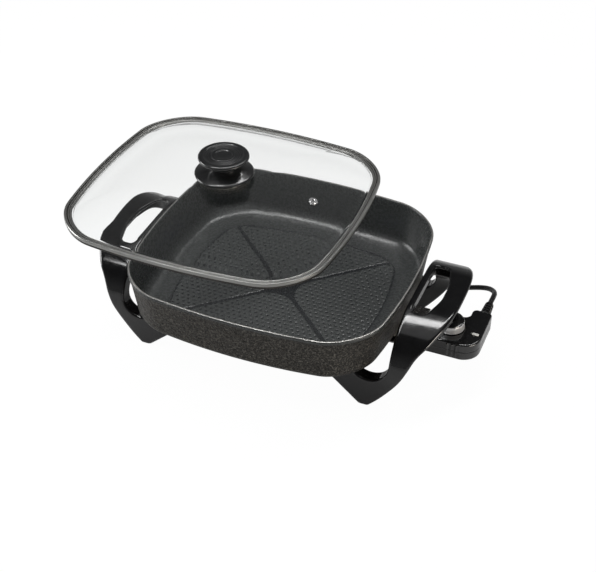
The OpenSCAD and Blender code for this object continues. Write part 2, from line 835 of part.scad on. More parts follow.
module thermostat_switch() {
    base_top = housing_bottom + housing_wall + 7;
    start = sleeve_end + block_size.x + 1;
    color("#6f5a3a") {
        translate([start, -7, housing_bottom + housing_wall]) cube([19, 14, 7]);
        translate([start + 15, -3, base_top - eps]) cube([3, 6, 3.2]);
        translate([start + 1, -2.5, base_top + 2.4]) cube([17, 5, 0.8]);
    }
}

module lens_shape() {
    half = 2.4;
    translate([lens_x, lens_y]) {
        for (end = [-1, 1]) translate([end * half, 0]) circle(r = 2.1);
        square([2 * half, 4.2], center = true);
    }
}

module neon_lamp() {
    color("#e08a5a") translate([lens_x, lens_y, housing_split - 2]) cylinder(d = 3.6, h = 8.5);
}

module pilot_lens() {
    inner_top = housing_top_z - housing_wall;
    color("#f2efe6") difference() {
        union() {
            translate([0, 0, inner_top - eps]) linear_extrude(housing_wall + 0.4) lens_shape();
            translate([lens_x, lens_y, inner_top - 5]) cylinder(d = 9, h = 5);
        }
        translate([lens_x, lens_y, inner_top - 6]) cylinder(d = 3.6, h = housing_split + 6.5 - inner_top + 6);
    }
}

module control_screws() {
    color("#b0b3b6") for (p = housing_posts) translate([p.x, p.y, housing_bottom]) {
        cylinder(d = 5.6, h = 2);
        translate([0, 0, 2 - eps]) cylinder(d = screw_small, h = housing_height - screw_cover);
    }
}

module cord_clamp() {
    bottom = housing_bottom + housing_wall;
    color("#8f9194") difference() {
        translate([cord_exit_x - 7, side_arm_end - 16, bottom]) cube([14, 6, cord_z + 4 - bottom]);
        translate([cord_exit_x, side_arm_end, cord_z]) rotate([90, 0, 0]) cylinder(d = cord_diameter, h = 30);
    }
}

module strain_relief() {
    pitch = relief_length / relief_ribs;
    rib = pitch * 0.62;
    function radius(y) =
        (relief_start_diameter + (relief_end_diameter - relief_start_diameter) * y / relief_length) / 2;
    core = cord_diameter / 2 + 1.2;
    ribs = [for (i = [0:relief_ribs - 1]) each [
        [radius(i * pitch), i * pitch], [radius(i * pitch + rib), i * pitch + rib],
        [core, i * pitch + rib], [core, (i + 1) * pitch]]];
    neck = relief_end_diameter / 2;
    color("#141415") translate([cord_exit_x, side_arm_end, cord_z]) rotate([-90, 0, 0]) rotate_extrude()
        polygon(concat(
            [[0, -18], [cord_diameter / 2, -18], [cord_diameter / 2, -housing_wall - 3],
             [neck + 1, -housing_wall - 3], [neck + 1, -housing_wall], [neck, -housing_wall], [neck, 0]],
            ribs, [[0, relief_length]]));
}

// ---- Cord ----

function heading(points, i) = unit(points[min(i + 1, len(points) - 1)] - points[max(i - 1, 0)]);

function tube_ring(point, along, radius, sides) =
    let (across = unit(cross([0, 0, 1], along)), up = cross(along, across))
    [for (k = [0:sides - 1]) point + radius * (cos(360 * k / sides) * across + sin(360 * k / sides) * up)];

module tube(points, d, sides) {
    loft([for (i = [0:len(points) - 1])
        tube_ring(points[i], (i == 0 || i == len(points) - 1) ? end_heading(points, i) : heading(points, i),
            d / 2, sides)]);
}

function end_heading(points, i) = i == 0 ? unit(points[1] - points[0]) : unit(points[i] - points[i - 1]);

// A point of the coil: it spirals in on the lower layer and out on the upper one
function coil_point(loop) =
    let (turn = 270 - 360 * loop, middle = coil_loops / 2,
         radius = coil_inner + coil_step * abs(loop - middle),
         climb = min(max((loop - middle) * 2 + 0.5, 0), 1))
    [coil_centre.x + radius * cos(turn), coil_centre.y + radius * sin(turn), coil_lie + coil_step * climb];

coil_turns = [for (i = [0:coil_loops * coil_rings]) coil_point(i / coil_rings)];
coil_path = concat(
    [coil_turns[0] + [coil_straight, 0, 0]], coil_turns,
    [for (t = tail_points) [t.x, coil_turns[0].y, t.y]]);

// Least gap between one turn and the points that lie half a turn or more away
coil_gap = min([
    for (i = [0:2:len(coil_turns) - 1], j = [i + coil_rings / 2:1:len(coil_turns) - 1])
        norm(coil_turns[i] - coil_turns[j])]) - cord_diameter;
echo(coil_gap = coil_gap);

module power_cord() {
    color("#121213") tube(cord_points, cord_diameter, cord_sides);
}

module cord_coil() {
    color("#121213") tube(coil_path, cord_diameter, coil_sides);
}

module coil_tie() {
    inner = [coil_outer - coil_inner + cord_diameter + 1, coil_step + cord_diameter + 0.6];
    middle = (coil_inner + coil_outer) / 2;
    bottom = coil_lie - cord_diameter / 2 - 0.3 - tie_sheet;
    color("#26262a") translate([coil_centre.x, coil_centre.y, 0]) rotate([0, 0, tie_angle])
        translate([middle, tie_width / 2, bottom]) rotate([90, 0, 0]) linear_extrude(tie_width) difference() {
            translate([-inner.x / 2 - tie_sheet, 0])
                square([inner.x + 2 * tie_sheet, inner.y + 2 * tie_sheet]);
            translate([-inner.x / 2, tie_sheet]) square(inner);
        }
}

plug_y = coil_centre.y - coil_outer;
plug_z = plug_height / 2;

module plug_body() {
    collar = 9;
    color("#141415") {
        rod_x(plug_back - collar, plug_back, plug_y, plug_z, 11);
        translate([0, plug_y, 0]) linear_extrude(plug_height) polygon(rounded([
            [plug_back - collar + 1, -6, 2], [plug_back - collar + 1, 6, 2],
            [plug_back - plug_length / 2, plug_width / 2, 6], [plug_back - plug_length, plug_width / 2, 2],
            [plug_back - plug_length, -plug_width / 2, 2],
            [plug_back - plug_length / 2, -plug_width / 2, 6]]));
    }
}

module plug_blades() {
    color("#c9b98a") for (side = [-1, 1])
        translate([plug_back - plug_length - blade_length, plug_y + side * blade_spread / 2, plug_z])
            translate([0, -blade_thickness / 2, -blade_width / 2])
                cube([blade_length, blade_thickness, blade_width]);
}

// ---- Dial ----

module dial_frame() {
    translate([dial_x, 0, housing_top_z]) children();
}

module dial_ring() {
    edge = dial_diameter / 2;
    top = dial_height - dial_cap_height / 2;
    hub = shaft_diameter / 2 + 2.5;
    color("#b8b9bd") dial_frame() rotate_extrude() polygon([
        [shaft_diameter / 2, dial_clearance], [hub, dial_clearance], [hub, top - 2.5],
        [edge - dial_ring_wall, top - 2.5], [edge - dial_ring_wall, dial_clearance],
        [edge, dial_clearance], [edge, dial_clearance + 1.2], [edge - 0.5, dial_clearance + 1.7],
        [edge - 0.7, top], [shaft_diameter / 2, top]]);
}

module dial_cap() {
    edge = dial_diameter / 2 - 0.7;
    base = dial_height - dial_cap_height / 2;
    color("#141415") dial_frame() difference() {
        translate([0, 0, base]) cylinder(d1 = 2 * edge, d2 = 2 * edge - 1, h = dial_cap_height / 2);
        translate([0, 0, dial_height - 0.5]) cylinder(r = 6, h = 1);
    }
}

module dial_shaft() {
    below = 7;
    color("#9fa2a5") dial_frame() translate([0, 0, -below])
        cylinder(d = shaft_diameter, h = below + dial_height - dial_cap_height / 2);
}

module dial_pointer() {
    color("#f5f5f2") dial_frame() rotate([0, 0, pointer_angle])
        translate([7, -1, dial_height]) cube([7.5, 2, 0.5]);
}

pan();
heating_element();
terminal_pins();
terminal_insulators();
probe_well();
terminal_guard();
guard_screws();
left_handle();
right_handle();
handle_screws(-1);  // left_handle_screws
handle_screws(1);  // right_handle_screws
handle_washers(-1);  // left_handle_washers
handle_washers(1);  // right_handle_washers
lid_glass();
lid_rim_band();
steam_vent();
knob_seal();
knob_base();
knob_top();
knob_screw();
knob_insert();
knob_washer();
control_top();
control_base();
probe_rod();
contact_sleeves();
terminal_block();
thermostat_switch();
neon_lamp();
pilot_lens();
control_screws();
cord_clamp();
strain_relief();
power_cord();
cord_coil();
coil_tie();
plug_body();
plug_blades();
dial_ring();
dial_cap();
dial_shaft();
dial_pointer();
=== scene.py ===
"""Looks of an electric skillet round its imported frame.

Lengths are in millimetres until a mesh is made.
"""

import math
from functools import reduce

import bpy
import numpy as np
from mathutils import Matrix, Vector


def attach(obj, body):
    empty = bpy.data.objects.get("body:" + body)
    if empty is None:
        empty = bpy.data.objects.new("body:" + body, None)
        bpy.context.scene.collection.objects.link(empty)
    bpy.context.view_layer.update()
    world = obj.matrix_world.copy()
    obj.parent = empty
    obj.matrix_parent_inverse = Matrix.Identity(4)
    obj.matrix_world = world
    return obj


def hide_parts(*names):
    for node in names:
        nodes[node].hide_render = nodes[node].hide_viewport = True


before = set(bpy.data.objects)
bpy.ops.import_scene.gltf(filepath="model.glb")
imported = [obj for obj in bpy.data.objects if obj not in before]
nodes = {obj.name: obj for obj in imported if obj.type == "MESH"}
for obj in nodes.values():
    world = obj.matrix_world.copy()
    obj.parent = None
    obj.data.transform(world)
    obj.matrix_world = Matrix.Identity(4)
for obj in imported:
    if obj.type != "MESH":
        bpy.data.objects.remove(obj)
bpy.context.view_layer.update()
MM = 0.001

# ---- Driving sizes, as in the part's source ----

HALF_LENGTH, HALF_WIDTH = 170.0, 157.0
CORNER, BOW = 58.0, 15.0
RIM_Z, FLOOR_Z, UNDER_Z = 122.0, 61.0, 56.0
WALL, DRAFT, UNDER_RADIUS, COVE = 3.0, 8.0, 14.0, 16.0
BEAD, BEAD_HEIGHT = 0.6, 5.0
PROBE_Z = 50.0
LID_OFFSET = np.array([-70.0, -12.0, RIM_Z + 63.0])
GLASS, DOME_RISE, DOME_INSET = 4.0, 27.0, 9.0
FLANGE_BOTTOM = 1.2
FLANGE_TOP = FLANGE_BOTTOM + GLASS
DOME_TOP = FLANGE_TOP + DOME_RISE
HANDLE_TOP, HANDLE_REACH, HANDLE_THICKNESS = 115.0, 233.0, 18.0
ARCH_RADIUS, LEG_SPAN = 70.0, 104.0
LEG_SCREWS, LEG_SCREW_Y = (96, 121), 95
STRIP_INNER = 173.5
SLOT_INNER, SLOT_WIDTH, SLOT_HALF = 181.0, 27.0, 48.0
HOUSING = {"left": 190.0, "right": 259.0, "front": -30.0, "back": 24.0,
           "arm": 235.0, "end": 43.0}
HOUSING_BOTTOM, HOUSING_SPLIT, HOUSING_TOP = 43.0, 54.5, 66.0
RELIEF_X = HOUSING["arm"] + 13
DIAL = np.array([218.0, 0.0, HOUSING_TOP])
CORD_DIAMETER = 6.5
COIL_CENTRE, COIL_MIDDLE, COIL_LOOPS = (20.0, 239.25), 36.0, 3
COIL_STEP, COIL_LIE = 7.0, 4.6


# ---- Meshes ----

def facing_out(verts, faces):
    """The faces of a closed mesh, turned over if they face inward."""
    v = np.asarray(verts, float)
    corners = np.array([(f[0], f[k], f[k + 1]) for f in faces for k in range(1, len(f) - 1)])
    a, b, c = (v[corners[:, k]] for k in range(3))
    volume = np.einsum("ij,ij->i", a, np.cross(b, c)).sum()
    return faces if volume > 0 else [f[::-1] for f in faces]


def add_mesh(name, verts, faces, mat, body, replaces=(), sharp=40.0):
    """A smooth piece on a body, with edges sharper than an angle kept, in place of CAD nodes."""
    mesh = bpy.data.meshes.new(name)
    faces = facing_out(verts, [tuple(map(int, f)) for f in faces])
    mesh.from_pydata((np.asarray(verts, float) * MM).tolist(), [], faces)
    mesh.validate()
    mesh.update()
    mesh.shade_smooth()
    mesh.set_sharp_from_angle(angle=math.radians(sharp))
    obj = bpy.data.objects.new(name, mesh)
    bpy.context.scene.collection.objects.link(obj)
    mesh.materials.append(mat)
    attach(obj, body)
    if replaces:
        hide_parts(*replaces)
    return obj


def grid_faces(rows, columns, closed_rows):
    """Quads between rings of columns points. The last ring meets the first if closed."""
    faces = []
    for i in range(rows if closed_rows else rows - 1):
        for j in range(columns):
            k, m = (i + 1) % rows, (j + 1) % columns
            faces.append((i * columns + j, i * columns + m, k * columns + m, k * columns + j))
    return faces


def loft(rings, closed=False):
    """Vertices and faces through rings of equal length, with both ends capped unless closed."""
    rings = [np.asarray(r, float) for r in rings]
    n = len(rings[0])
    faces = grid_faces(len(rings), n, closed)
    verts = np.concatenate(rings)
    if not closed:
        for ring, order in ((0, -1), (len(rings) - 1, 1)):
            if np.ptp(rings[ring], axis=0).max() > 1e-6:
                verts = np.vstack([verts, rings[ring].mean(0)])
                centre = len(verts) - 1
                for j in range(n):
                    a, b = ring * n + j, ring * n + (j + 1) % n
                    faces.append((centre, b, a) if order < 0 else (centre, a, b))
    return verts, faces


def revolve(profile, steps=144):
    """A profile of (radius, z) turned round Z."""
    turns = np.arange(steps) * 2 * math.pi / steps
    circle = np.stack([np.cos(turns), np.sin(turns)], 1)
    return [np.column_stack([circle * r, np.full(steps, z)]) for r, z in profile]


def smooth_curve(points, steps):
    """Catmull-Rom curve through points."""
    p = np.asarray(points, float)
    n = len(p)
    out = []
    for i in range(n - 1):
        a, b, c, d = (p[min(max(i + k - 1, 0), n - 1)] for k in range(4))
        for k in range(steps):
            t = k / steps
            out.append(0.5 * (2 * b + (c - a) * t + (2 * a - 5 * b + 4 * c - d) * t * t
                              + (3 * b - a - 3 * c + d) * t ** 3))
    out.append(p[-1])
    return np.array(out)


def rounded(corners, degrees=7.5):
    """A polygon whose corners (x, y, radius) are rounded."""
    out = []
    n = len(corners)
    for i, (x, y, r) in enumerate(corners):
        at = np.array([x, y])
        if r <= 0:
            out.append(at)
            continue
        u = np.array(corners[i - 1][:2]) - at
        v = np.array(corners[(i + 1) % n][:2]) - at
        u, v = u / np.linalg.norm(u), v / np.linalg.norm(v)
        half = math.acos(np.clip(u @ v, -1, 1)) / 2
        centre = at + (u + v) / np.linalg.norm(u + v) * r / math.sin(half)
        start = at + u * r / math.tan(half) - centre
        end = at + v * r / math.tan(half) - centre
        first = math.atan2(start[1], start[0])
        sweep = (math.atan2(end[1], end[0]) - first + 3 * math.pi) % (2 * math.pi) - math.pi
        steps = max(2, math.ceil(abs(math.degrees(sweep)) / degrees))
        for k in range(steps + 1):
            turn = first + sweep * k / steps
            out.append(centre + r * np.array([math.cos(turn), math.sin(turn)]))
    return np.array(out)


# ---- Distance fields: negative inside, with arrays that broadcast ----

def either(fields):
    """All fields together, their edges left sharp."""
    return reduce(np.minimum, fields)


def polygon_field(px, py, polygon):
    px, py = np.broadcast_arrays(px, py)
    best = np.full(px.shape, 1e18)
    sign = np.ones(px.shape)
    for (ax, ay), (bx, by) in zip(polygon, np.roll(polygon, 1, 0)):
        ex, ey = bx - ax, by - ay
        wx, wy = px - ax, py - ay
        t = np.clip((wx * ex + wy * ey) / max(ex * ex + ey * ey, 1e-12), 0, 1)
        dx, dy = wx - ex * t, wy - ey * t
        best = np.minimum(best, dx * dx + dy * dy)
        above, below, side = py >= ay, py < by, ex * wy > ey * wx
        flip = (above & below & side) | (~above & ~below & ~side)
        sign = np.where(flip, -sign, sign)
    return sign * np.sqrt(best)


def box_field(px, py, half_x, half_y, radius=0.0):
    qx, qy = np.abs(px) - half_x + radius, np.abs(py) - half_y + radius
    outside = np.sqrt(np.maximum(qx, 0) ** 2 + np.maximum(qy, 0) ** 2)
    return outside + np.minimum(np.maximum(qx, qy), 0) - radius


def slab(pz, low, high):
    return np.maximum(low - pz, pz - high)


def meet(radius, *fields):
    """What all fields share, its edges rounded."""
    raised = [f + radius for f in fields]
    outside = np.sqrt(sum(np.maximum(f, 0) ** 2 for f in raised))
    return outside + np.minimum(reduce(np.maximum, raised), 0) - radius


def join(radius, *fields):
    """All fields together, their inner corners filled."""
    return -meet(radius, *[-f for f in fields])


def cut(radius, field, *tools):
    return meet(radius, field, *[-t for t in tools])


def surface_net(field, low, high, step):
    """Quads on the zero surface of field(x, y, z), moved onto it."""
    axes = [np.arange(low[k] - 2 * step, high[k] + 3 * step, step) for k in range(3)]
    spread = axes[0][:, None, None], axes[1][None, :, None], axes[2][None, None, :]
    grid = np.broadcast_to(field(*spread), [len(a) for a in axes])
    inside = grid < 0
    corners = [(i, j, k) for i in (0, 1) for j in (0, 1) for k in (0, 1)]
    shape = [len(a) - 1 for a in axes]
    count = np.zeros(shape, np.int8)
    for i, j, k in corners:
        count += inside[i:i + shape[0], j:j + shape[1], k:k + shape[2]]
    cells = np.argwhere((count > 0) & (count < 8))
    values = {c: grid[tuple(cells[:, k] + c[k] for k in range(3))] for c in corners}
    total, hits = np.zeros((len(cells), 3)), np.zeros(len(cells))
    for a in corners:
        for k in range(3):
            if a[k] == 0:
                b = tuple(a[m] + (m == k) for m in range(3))
                va, vb = values[a], values[b]
                crosses = (va < 0) != (vb < 0)
                t = np.where(crosses, va / np.where(crosses, va - vb, 1), 0)
                spot = np.tile(np.array(a, float), (len(cells), 1))
                spot[:, k] = t
                total += np.where(crosses[:, None], spot, 0)
                hits += crosses
    origin = np.array([a[0] for a in axes])
    verts = origin + (cells + total / hits[:, None]) * step
    index = np.full(shape, -1, np.int64)
    index[tuple(cells.T)] = np.arange(len(cells))
    faces = []
    for k in range(3):
        a, b = [m for m in range(3) if m != k]
        near = tuple(slice(int(m != k), shape[m]) for m in range(3))
        far = tuple(slice(1, shape[m] + int(m == k)) for m in range(3))
        first, second = inside[near], inside[far]
        for flipped, mask in ((False, first & ~second), (True, ~first & second)):
            spots = np.argwhere(mask)
            spots[:, a] += 1
            spots[:, b] += 1
            quad = []
            for da, db in ((0, 0), (-1, 0), (-1, -1), (0, -1)):
                at = spots.copy()
                at[:, a] += da
                at[:, b] += db
                quad.append(index[tuple(at.T)])
            quad = np.stack(quad, 1)
            if flipped == (k != 1):
                quad = quad[:, ::-1]
            faces.append(quad)
    faces = np.concatenate(faces)
    small, gentlest, reach = 0.02, 0.25, 0.4 * step
    for _ in range(3):
        value = field(*verts.T)
        nudges = small * np.eye(3)
        slope = np.stack([field(*(verts + n).T) - value for n in nudges], 1) / small
        length = np.maximum((slope ** 2).sum(1), gentlest)
        move = -(value / length)[:, None] * slope
        verts = verts + np.clip(move, -reach, reach)
    return verts, faces.tolist()


# ---- The rim's outline ----

def outline(inset):
    """The bowed square in plan, drawn in from the rim by inset."""
    arc_steps, side_steps = 26, 26
    a, b = HALF_LENGTH - inset, HALF_WIDTH - inset
    r = max(CORNER - inset, 12.0)
    signs = ((1, 1), (-1, 1), (-1, -1), (1, -1))
    out = []
    for q in range(4):
        (sx, sy), (nx, ny) = signs[q], signs[(q + 1) % 4]
        centre = np.array([sx * (a - r), sy * (b - r)])
        after = np.array([nx * (a - r), ny * (b - r)])
        for i in range(arc_steps + side_steps):
            turn = math.radians(90 * (q + min(i / arc_steps, 1)))
            along = max(i - arc_steps, 0) / side_steps
            spoke = np.array([math.cos(turn), math.sin(turn)])
            out.append(centre + along * (after - centre) + r * spoke)
    p = np.array(out)
    return np.column_stack([p[:, 0] * (1 - BOW / a * (p[:, 1] / b) ** 2),
                            p[:, 1] * (1 - BOW / b * (p[:, 0] / a) ** 2)])


def ring(inset, z):
    p = outline(inset)
    return np.column_stack([p, np.full(len(p), z)])


# ---- Materials ----

class Nodes:
    """A material's node tree with short calls for what is used here."""

    def __init__(self, name):
        self.mat = bpy.data.materials.new(name)
        self.mat.use_nodes = True
        self.tree = self.mat.node_tree
        self.bsdf = self.tree.nodes["Principled BSDF"]
        self.coords = None

    def add(self, kind, **values):
        node = self.tree.nodes.new(kind)
        for key, value in values.items():
            setattr(node, key, value)
        return node

    def wire(self, source, target):
        self.tree.links.new(source, target)

    def set(self, **values):
        for key, value in values.items():
            self.bsdf.inputs[key.replace("_", " ")].default_value = value

    def place(self):
        """The object's own coordinates, in metres."""
        if self.coords is None:
            self.coords = self.add("ShaderNodeTexCoord").outputs["Object"]
        return self.coords

    def noise(self, scale, detail=3.0, rough=0.5):
        node = self.add("ShaderNodeTexNoise")
        node.inputs["Scale"].default_value = scale
        node.inputs["Detail"].default_value = detail
        node.inputs["Roughness"].default_value = rough
        self.wire(self.place(), node.inputs["Vector"])
        return node.outputs["Fac"]

    def cells(self, scale):
        node = self.add("ShaderNodeTexVoronoi", feature="SMOOTH_F1")
        node.inputs["Scale"].default_value = scale
        self.wire(self.place(), node.inputs["Vector"])
        return node.outputs["Distance"]

    def math(self, operation, *inputs):
        node = self.add("ShaderNodeMath", operation=operation)
        for k, value in enumerate(inputs):
            if isinstance(value, (int, float)):
                node.inputs[k].default_value = value
            else:
                self.wire(value, node.inputs[k])
        return node.outputs[0]

    def between(self, value, low, high, out_low, out_high):
        node = self.add("ShaderNodeMapRange", interpolation_type="SMOOTHSTEP")
        self.wire(value, node.inputs["Value"])
        limits = {"From Min": low, "From Max": high, "To Min": out_low, "To Max": out_high}
        for key, number in limits.items():
            node.inputs[key].default_value = number
        return node.outputs["Result"]

    def ramp(self, value, stops):
        node = self.add("ShaderNodeValToRGB")
        self.wire(value, node.inputs["Fac"])
        elements = node.color_ramp.elements
        for k, (at, colour) in enumerate(stops):
            element = elements[k] if k < 2 else elements.new(at)
            element.position = at
            element.color = (*colour, 1)
        return node.outputs["Color"]

    def blend(self, share, first, second):
        node = self.add("ShaderNodeMix", data_type="RGBA")
        self.wire(share, node.inputs["Factor"])
        for key, value in (("A", first), ("B", second)):
            socket = [s for s in node.inputs if s.name == key and s.type == "RGBA"][0]
            if isinstance(value, tuple):
                socket.default_value = (*value, 1)
            else:
                self.wire(value, socket)
        return [s for s in node.outputs if s.type == "RGBA"][0]

    def colour(self, value):
        self.wire(value, self.bsdf.inputs["Base Color"])

    def rough(self, value):
        self.wire(value, self.bsdf.inputs["Roughness"])

    def bump(self, height, distance, strength=1.0):
        """Relief of a height from 0 to 1 that is distance metres deep."""
        node = self.add("ShaderNodeBump")
        node.inputs["Strength"].default_value = strength
        node.inputs["Distance"].default_value = distance
        self.wire(height, node.inputs["Height"])
        self.wire(node.outputs["Normal"], self.bsdf.inputs["Normal"])


def moulded(name, dark, light, rough_low, rough_high, grain=0.00002, coat=0.0):
    m = Nodes(name)
    blotch = m.noise(38, 3)
    m.colour(m.ramp(blotch, [(0.3, dark), (0.72, light)]))
    m.rough(m.between(m.noise(160, 4), 0.3, 0.75, rough_low, rough_high))
    m.bump(m.noise(900, 2), grain, 0.5)
    if coat:
        m.set(Coat_Weight=coat, Coat_Roughness=0.08)
    return m.mat


def metal(name, dark, light, rough_low, rough_high, grain=0.00002, metallic=1.0):
    m = Nodes(name)
    m.set(Metallic=metallic)
    m.colour(m.ramp(m.noise(60, 3), [(0.3, dark), (0.7, light)]))
    m.rough(m.between(m.noise(300, 4), 0.3, 0.7, rough_low, rough_high))
    m.bump(m.noise(1400, 2), grain, 0.5)
    return m.mat


def plain(name, dark, light, rough_low, rough_high):
    m = Nodes(name)
    m.colour(m.ramp(m.noise(120, 4), [(0.3, dark), (0.7, light)]))
    m.rough(m.between(m.noise(240, 3), 0.3, 0.7, rough_low, rough_high))
    m.bump(m.noise(960, 3), 0.00003, 0.6)
    return m.mat


gloss_black = moulded("gloss_black", (0.004, 0.004, 0.0045), (0.007, 0.007, 0.0075),
                      0.1, 0.17, 0.000004, 0.5)
control_black = moulded("control_black", (0.005, 0.005, 0.0055), (0.009, 0.009, 0.0095),
                        0.12, 0.2, 0.000004, 1.0)
knob_black = moulded("knob_black", (0.009, 0.0095, 0.01), (0.014, 0.0145, 0.015),
                     0.3, 0.36, 0.000003, 0.6)
rubber = moulded("cord_black", (0.006, 0.006, 0.0065), (0.013, 0.013, 0.0135),
                 0.3, 0.42, 0.00004)
steel = metal("steel", (0.42, 0.41, 0.4), (0.6, 0.59, 0.58), 0.16, 0.3)
bright_steel = metal("bright_steel", (0.68, 0.68, 0.68), (0.8, 0.8, 0.8),
                     0.14, 0.24, metallic=0.75)
rim_edge = metal("rim_edge", (0.42, 0.41, 0.39), (0.5, 0.49, 0.47),
                 0.34, 0.4, grain=0.000003)
# Dark steel put in the band's grooves and under its lip as painted shade.
band_painted_shade = metal("band_painted_shade", (0.05, 0.048, 0.045), (0.08, 0.077, 0.072), 0.35, 0.5)
zinc = metal("zinc", (0.5, 0.51, 0.52), (0.66, 0.67, 0.68), 0.25, 0.42)
element_steel = metal("element_steel", (0.2, 0.19, 0.18), (0.34, 0.33, 0.31), 0.35, 0.55)
brass = metal("brass", (0.52, 0.4, 0.18), (0.7, 0.56, 0.28), 0.2, 0.35)
ceramic = plain("ceramic", (0.62, 0.58, 0.5), (0.74, 0.7, 0.62), 0.5, 0.7)
phenolic = plain("phenolic", (0.09, 0.05, 0.025), (0.16, 0.09, 0.05), 0.35, 0.5)
seal_rubber = plain("seal_rubber", (0.5, 0.48, 0.43), (0.6, 0.58, 0.53), 0.4, 0.55)
lens_white = plain("lens_white", (0.72, 0.71, 0.66), (0.8, 0.79, 0.75), 0.2, 0.3)
silver = metal("silver", (0.66, 0.66, 0.67), (0.78, 0.78, 0.79), 0.3, 0.4, metallic=0.6)
lamp = plain("lamp", (0.6, 0.25, 0.12), (0.75, 0.35, 0.18), 0.1, 0.2)
tie_black = plain("tie_black", (0.02, 0.02, 0.022), (0.035, 0.035, 0.038), 0.4, 0.6)


def band_material():
    """Drawn steel whose tone and polish wander slowly along the band."""
    m = Nodes("band_steel")
    m.colour(m.ramp(m.noise(9, 2), [(0.3, (0.3, 0.3, 0.29)), (0.7, (0.4, 0.4, 0.385))]))
    m.rough(m.between(m.noise(14, 2), 0.3, 0.7, 0.3, 0.38))
    m.set(Metallic=0.85)
    return m.mat


def inside_material():
    """Satin nonstick. What lies low in the floor, its dimples, cross and border, is coloured darker
    as painted shade.
    """
    m = Nodes("nonstick_inside")
    split = m.add("ShaderNodeSeparateXYZ")
    m.wire(m.place(), split.inputs[0])
    low_z, high_z = (FLOOR_Z - 0.45) * MM, (FLOOR_Z - 0.05) * MM
    height = m.between(split.outputs[2], low_z, high_z, 0.0, 1.0)
    grain = m.noise(700, 3)
    high = m.ramp(grain, [(0.35, (0.045, 0.048, 0.0475)), (0.7, (0.049, 0.0525, 0.052))])
    # The darker colour of the low parts is painted shade.
    low = m.ramp(grain, [(0.35, (0.01, 0.011, 0.0125)), (0.7, (0.016, 0.018, 0.02))])
    m.colour(m.blend(height, low, high))
    m.rough(m.between(m.noise(300, 3), 0.3, 0.7, 0.26, 0.29))
    m.bump(grain, 0.00001, 0.5)
    m.set(Specular_IOR_Level=0.6)
    return m.mat


def outside_material():
    """Hammered, mottled outside of the casting."""
    m = Nodes("nonstick_outside")
    dents = m.cells(210)
    speckle = m.noise(520, 4, rough=0.75)
    stops = [(0.36, (0.01, 0.0095, 0.009)), (0.5, (0.045, 0.042, 0.037)),
             (0.66, (0.22, 0.205, 0.18))]
    m.colour(m.ramp(speckle, stops))
    m.rough(m.between(m.noise(420, 3), 0.3, 0.7, 0.3, 0.46))
    m.bump(m.math("ADD", dents, m.math("MULTIPLY", speckle, 0.5)), 0.0014, 1.0)
    m.set(Metallic=0.8)
    return m.mat


def glass_material():
    m = Nodes("clear_glass")
    m.set(Base_Color=(0.985, 0.995, 0.99, 1), Roughness=0.0, IOR=1.5, Transmission_Weight=1.0)
    return m.mat


pan_inside, pan_outside, clear_glass = inside_material(), outside_material(), glass_material()
band_steel = band_material()


# ---- Camera ----

def make_camera():
    """The photograph's viewing angle, from the front and a little to the right."""
    data = bpy.data.cameras.new("camera")
    data.lens, data.sensor_width = 72.5, 36.0
    data.clip_start, data.clip_end = 0.05, 50
    camera = bpy.data.objects.new("camera", data)
    bpy.context.scene.collection.objects.link(camera)
    aim = Vector((0.0463, -0.0642, 0.122))
    azimuth, elevation, distance = math.radians(22.5), math.radians(38.0), 1.4138
    level = math.cos(elevation)
    back = Vector((math.sin(azimuth) * level, -math.cos(azimuth) * level, math.sin(elevation)))
    camera.location = aim + back * distance
    camera.rotation_mode = "QUATERNION"
    camera.rotation_quaternion = (-back).to_track_quat("-Z", "Y")
    bpy.context.scene.camera = camera


make_camera()


# ---- Cord ----

CORD_POINTS = [
    (248, 73, 54.5), (248, 80, 54.5), (248, 90, 53.5), (247, 100, 51), (243, 110, 47),
    (235, 119, 42), (224, 125, 36), (211, 128, 30), (198, 130, 24), (185, 133, 18),
    (172, 138, 12), (159, 144, 8), (146, 151, 5), (132, 159, 3.5), (118, 167, 3.5),
    (104, 175, 3.5), (90, 182, 3.5), (76, 188, 3.5), (62, 193, 3.6), (50, 196, 4),
    (40, 197.5, 4.5), (33, 198, 4.6), (26, 198, 4.6)]


def coil_points():
    """Half the loops wind inward low down and half outward on top of them."""
    per_turn = 36
    inner = COIL_MIDDLE - COIL_STEP * COIL_LOOPS / 4
    middle = COIL_LOOPS / 2
    out = []
    for i in range(COIL_LOOPS * per_turn + 1):
        loop = i / per_turn
        radius = inner + COIL_STEP * abs(loop - middle)
        climb = min(max((loop - middle) * 2 + 0.5, 0), 1)
        turn = math.radians(270 - 360 * loop)
        out.append((COIL_CENTRE[0] + radius * math.cos(turn),
                    COIL_CENTRE[1] + radius * math.sin(turn), COIL_LIE + COIL_STEP * climb))
    return out


COIL = coil_points()
PLUG_Y = COIL[0][1]
TAIL = [(x, PLUG_Y, z) for x, z in ((8, 11), (0, 9.4), (-10, 7.8), (-20, 7), (-28, 7))]


def tube(points, radius):
    """Rings round a path that never runs straight up."""
    p, sides = np.asarray(points, float), 16
    along = np.gradient(p, axis=0)
    along[0], along[-1] = p[1] - p[0], p[-1] - p[-2]
    along /= np.linalg.norm(along, axis=1)[:, None]
    across = np.cross([0, 0, 1], along)
    across /= np.linalg.norm(across, axis=1)[:, None]
    up = np.cross(along, across)
    turns = np.arange(sides) * 2 * math.pi / sides
    return [q + radius * (np.cos(turns)[:, None] * s + np.sin(turns)[:, None] * u)
            for q, s, u in zip(p, across, up)]


